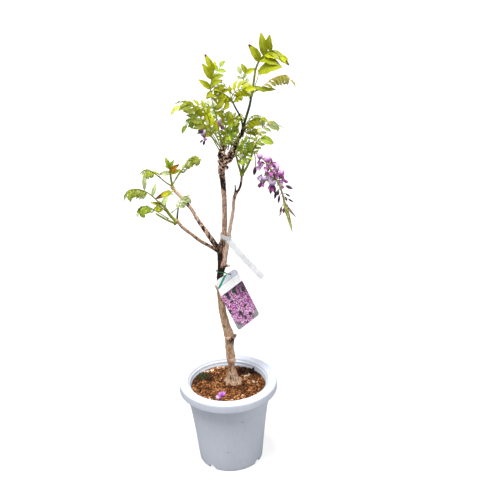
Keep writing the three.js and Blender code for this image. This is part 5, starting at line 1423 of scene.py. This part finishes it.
def belt(first, second, grow):
    """A belt drawn tight round two upright stems, anticlockwise, with its outward directions."""
    (ax, ay, ar), (bx, by, br) = first, second
    heading = math.atan2(by - ay, bx - ax)
    lean = math.asin((br - ar) / math.hypot(bx - ax, by - ay))
    quarter = math.pi / 2
    rows = []
    for x, y, r, start, end in ((bx, by, br + grow, heading - quarter - lean, heading + quarter + lean),
                                (ax, ay, ar + grow, heading + quarter + lean, heading + 3 * quarter - lean)):
        for k in range(17):
            turn = start + (end - start) * k / 16
            out = (math.cos(turn), math.sin(turn), 0)
            rows.append(((x + r * out[0], y + r * out[1]), out))
    return rows


def ribbon(centres, outs, ups, height, thickness, closed=False, bow=0.25):
    """Points and faces of a thin strip whose face is slightly bowed."""
    heights = [-1, -0.94, -0.5, 0, 0.5, 0.94, 1]
    points, rings = [], []
    for centre, out, up in zip(centres, outs, ups):
        rings.append(range(len(points), len(points) + 2 * len(heights)))
        for side in (1, -1):
            for h in heights[::side]:
                depth = side * thickness / 2 * (0.6 if abs(h) == 1 else 1) + bow * (1 - h * h)
                points.append(np.asarray(centre) + np.asarray(out) * depth + np.asarray(up) * h * height / 2)
    if closed:
        return points, wrapped(rings + rings[:1])
    return points, wrapped(rings) + [tuple(rings[0]), tuple(rings[-1])]


film, tree, shader = blank("strap_film", tint(236, 237, 239), 0.35, Coat_Weight=0.15)
milk = mottled(tree, 60.0, 2.0, 1.0, tint(242, 243, 244), tint(222, 224, 228))
feed(shader["Base Color"], milk["Color"])
feed(shader["Alpha"], milk["Height"].between(0.0, 1.0, 0.6, 0.84))
feed(shader["Normal"], milk["Height"].bump(0.15, 0.2))

middle = STRAP["z"] + STRAP["height"] / 2
rows = belt(*STRAP_STEMS, STRAP["gap"] + STRAP["thickness"] / 2)
points, faces = ribbon([(*spot, middle) for spot, out in rows], [out for spot, out in rows],
                       [(0, 0, 1)] * len(rows), STRAP["height"], STRAP["thickness"], closed=True, bow=0)
tail = evenly(STRAP_TAIL, 48)[0]
ahead = [unit(along) for along in np.gradient(tail, axis=0)]
outs = [square_to(TAIL_FACE, along) for along in ahead]
ups = [np.cross(along, out) for along, out in zip(ahead, outs)]
added(points, faces, *ribbon(tail, outs, ups, STRAP["tail"], STRAP["thickness"]))
strap = build("label_strap_film", points, faces, [film], crease=40)
fit(strap, "label_strap", "label_strap")


# ---------- label tie ----------
# A twisted pair of thin wires in green plastic. It passes through the card's hole and round
# the trunk, and holds the card.

TIE = [on_card(34, 24.2, 0.4), on_card(34, 24.2, -4), (5, 8.6, 379), (-2, 9.4, 384), (-9, 6.6, 387),
       (-12, 0.5, 389), (-10.8, -4.8, 390), (-6, -7.6, 389.5), (1, -8, 388.4), (8, -7.4, 386),
       (12.8, -4.6, 383)]
TIE_STRAND = 0.46
TIE_TURNS = 16
TIE_STEPS = 14
TIE_SIDES = 8

coating, tree, shader = blank("tie_coating", tint(24, 120, 66), 0.35)
feed(shader["Base Color"], mottled(tree, 300.0, base=tint(20, 132, 76), other=tint(12, 84, 50))["Color"])
laps = spline([*TIE[-2:], *TIE, *TIE[:3]], TIE_STEPS)[2 * TIE_STEPS:(2 + len(TIE)) * TIE_STEPS]


def beside(along, turn):
    """A strand's width away from a centre line, at a turn round it."""
    side = unit(np.cross(along, (0.1, 0.2, 1)))
    return TIE_STRAND * (math.cos(turn) * side + math.sin(turn) * np.cross(unit(along), side))


points, faces = [], []
ahead = np.roll(laps, -1, axis=0) - np.roll(laps, 1, axis=0)
for strand in (0, math.pi):
    rows = [centre + beside(along, strand + 2 * math.pi * TIE_TURNS * i / len(laps))
            for i, (centre, along) in enumerate(zip(laps, ahead))]
    rings = []
    for i, centre in enumerate(rows):
        rings.append(range(len(points), len(points) + TIE_SIDES))
        along = rows[(i + 1) % len(rows)] - rows[i - 1]
        points += [centre + beside(along, 2 * math.pi * k / TIE_SIDES) for k in range(TIE_SIDES)]
    faces += wrapped(rings + rings[:1])
tie = build("label_tie_wires", points, faces, [coating], crease=60)
fit(tie, "label_tie", "label_tie")


# ---------- litter on the soil ----------
# What has settled on the soil: a cushion of moss, a curled dead leaf and a flower that fell
# from the raceme. They only lie there.

MOSS = {"x": -45, "y": 30, "radius": 8.5, "cushions": 16, "shoots": 24}

moss_green, tree, shader = blank("moss_green", (1, 1, 1), 0.85)
feed(shader["Base Color"], mottled(tree, 260.0, 4.0, 1.0, tint(86, 86, 38), tint(20, 20, 10))["Color"])
growth = Growth()
draw = seeded(21)
for k in range(MOSS["cushions"]):
    turn, size = GOLDEN * k, 2.2 + 2.4 * draw()
    out = MOSS["radius"] * math.sqrt(k / MOSS["cushions"])
    x, y = MOSS["x"] + 1.1 * out * math.cos(turn), MOSS["y"] + 0.95 * out * math.sin(turn)
    heart = np.array((x, y, soil_top(x, y) + 0.5))
    dome = ball_points * (size, size, 0.75 * size) + heart
    growth.add(dome.tolist(), ball_faces, moss_green, [(0.5, 0, draw())] * len(dome))
    for _ in range(MOSS["shoots"]):
        side = unit((draw() - 0.5, draw() - 0.5, 0.55 * draw() + 0.05))
        foot = heart + side * size * (0.9, 0.9, 0.7)
        spindle(growth, foot, foot + side * (1 + 1.8 * draw()) + (0, 0, 0.6), 0.5, moss_green, 0.4,
                tone=draw(), sides=4, rows=3)
growth.piece("moss_cushion", "moss", "moss_tuft")

dry = leaf_skin("leaf_dry", tint(70, 48, 34), tint(34, 22, 16), tint(96, 70, 50), tint(24, 16, 12))
growth = Growth()
z = soil_top(46, 42)
blade(growth, (38, 36, z + 1.6), (14, 4, 1), (0, 0, 1), 15, 9, dry, fold=0.45, arch=0.14, wave=0.09,
      hook=0.1, tone=0.9)
blade(growth, (40, 37, z + 1.4), (8, 7, 9.4), (0.3, -1, 0.3), 14, 7, dry, fold=0.5, arch=0.12, wave=0.1,
      hook=-0.1, tone=0.6)
blade(growth, (44, 44, z + 1), (-7, 5, 5), (0.2, -0.6, 1), 10, 5, dry, fold=0.6, arch=0.2, wave=0.1,
      tone=0.8)
growth.piece("dead_leaf_curled", "dead_leaf", "dead_leaf")

VIVID = petal_skin("petal_vivid", tint(212, 136, 226), tint(168, 78, 184), tint(120, 40, 150))
growth = Growth()
z = soil_top(-15, -44)
blade(growth, (-12.5, -44, z + 1.4), (-10, -2, 1.2), (0, -0.4, 1), 11, 7, STANDARD, standard_edge, cup=0.4,
      arch=0.14, wave=0.12, notch=0.1, tone=0.7)
blade(growth, (-11.5, -43, z + 1.6), (-4, 3, 8), (0.2, -1, 0.4), 10, 8, VIVID, standard_edge, cup=0.3,
      wave=0.1, tone=0.8)
blade(growth, (-10.5, -43, z + 1.6), (3, 4, 7), (-0.3, -1, 0.5), 10, 6.5, VIVID, wing_edge, cup=0.4,
      wave=0.1, tone=0.9)
blade(growth, (-12.5, -45, z + 1.4), (-7, -7, 1), (-0.2, 0, 1), 9, 6, STANDARD, wing_edge, cup=0.4,
      wave=0.1, tone=0.9)
spindle(growth, (-9.5, -42, z + 1.4), (-14.5, -46, z + 3), 1.5, BUD, tone=0.3)
growth.piece("fallen_petals", "petal", "fallen_flower")


# ---------- floor, light and camera ----------
# A plain white table, a soft lamp high on the left, one overhead and a dim white room. The
# table looks white but sends little light up, so the pot's wall stays darker than its rim.

TABLE = {"half": 12000, "z": -0.2, "glow": 0.82}
LAMPS = [  # name, degrees from the front leftwards, degrees above the ground, spread, strength
    ("key", 30, 66, 20, 2.7),
    ("overhead", 0, 88, 8, 3.1),
    ("fill_left", 80, 14, 60, 0.6),
    ("fill_right", -75, 20, 60, 1.1),
]
ROOM = 0.31
CAMERA = {"place": (0.0317, -2.0, 1.41), "tilt": 25.7, "roll": -2.2, "lens": 95.445, "sensor": 36}

table, tree, shader = blank("table_white", tint(132, 132, 134), 0.9, Specular_IOR_Level=0,
                            Emission_Color=(1, 1, 1))
feed(shader["Emission Strength"], node(tree, "LightPath")["Is Camera Ray"] * TABLE["glow"])
half = TABLE["half"]
corners = [(x, y, TABLE["z"]) for x, y in ((-half, -half), (half, -half), (half, half), (-half, half))]
floor = build("table", corners, [(0, 1, 2, 3)], [table])

scene = bpy.context.scene
for name, azimuth, height, spread, strength in LAMPS:
    light = bpy.data.lights.new(name, "SUN")
    light.energy = strength
    light.angle = math.radians(spread)
    placed(name, light).matrix_world = (Matrix.Rotation(math.radians(-azimuth), 4, "Z")
                                        @ Matrix.Rotation(math.radians(90 - height), 4, "X"))

scene.world = bpy.data.worlds.new("studio")
scene.world.use_nodes = True
seen = node(scene.world.node_tree, "LightPath")["Is Camera Ray"]
background = scene.world.node_tree.nodes["Background"].inputs
feed(background["Color"], (1, 1, 1))
feed(background["Strength"], seen * (1 - ROOM) + ROOM)
scene.view_settings.view_transform = "Standard"

lens = bpy.data.cameras.new("camera")
lens.lens = CAMERA["lens"]
lens.sensor_width = CAMERA["sensor"]
scene.camera = placed("camera", lens)
scene.camera.matrix_world = (Matrix.Translation(CAMERA["place"])
                             @ Matrix.Rotation(math.radians(90 - CAMERA["tilt"]), 4, "X")
                             @ Matrix.Rotation(math.radians(CAMERA["roll"]), 4, "Z"))
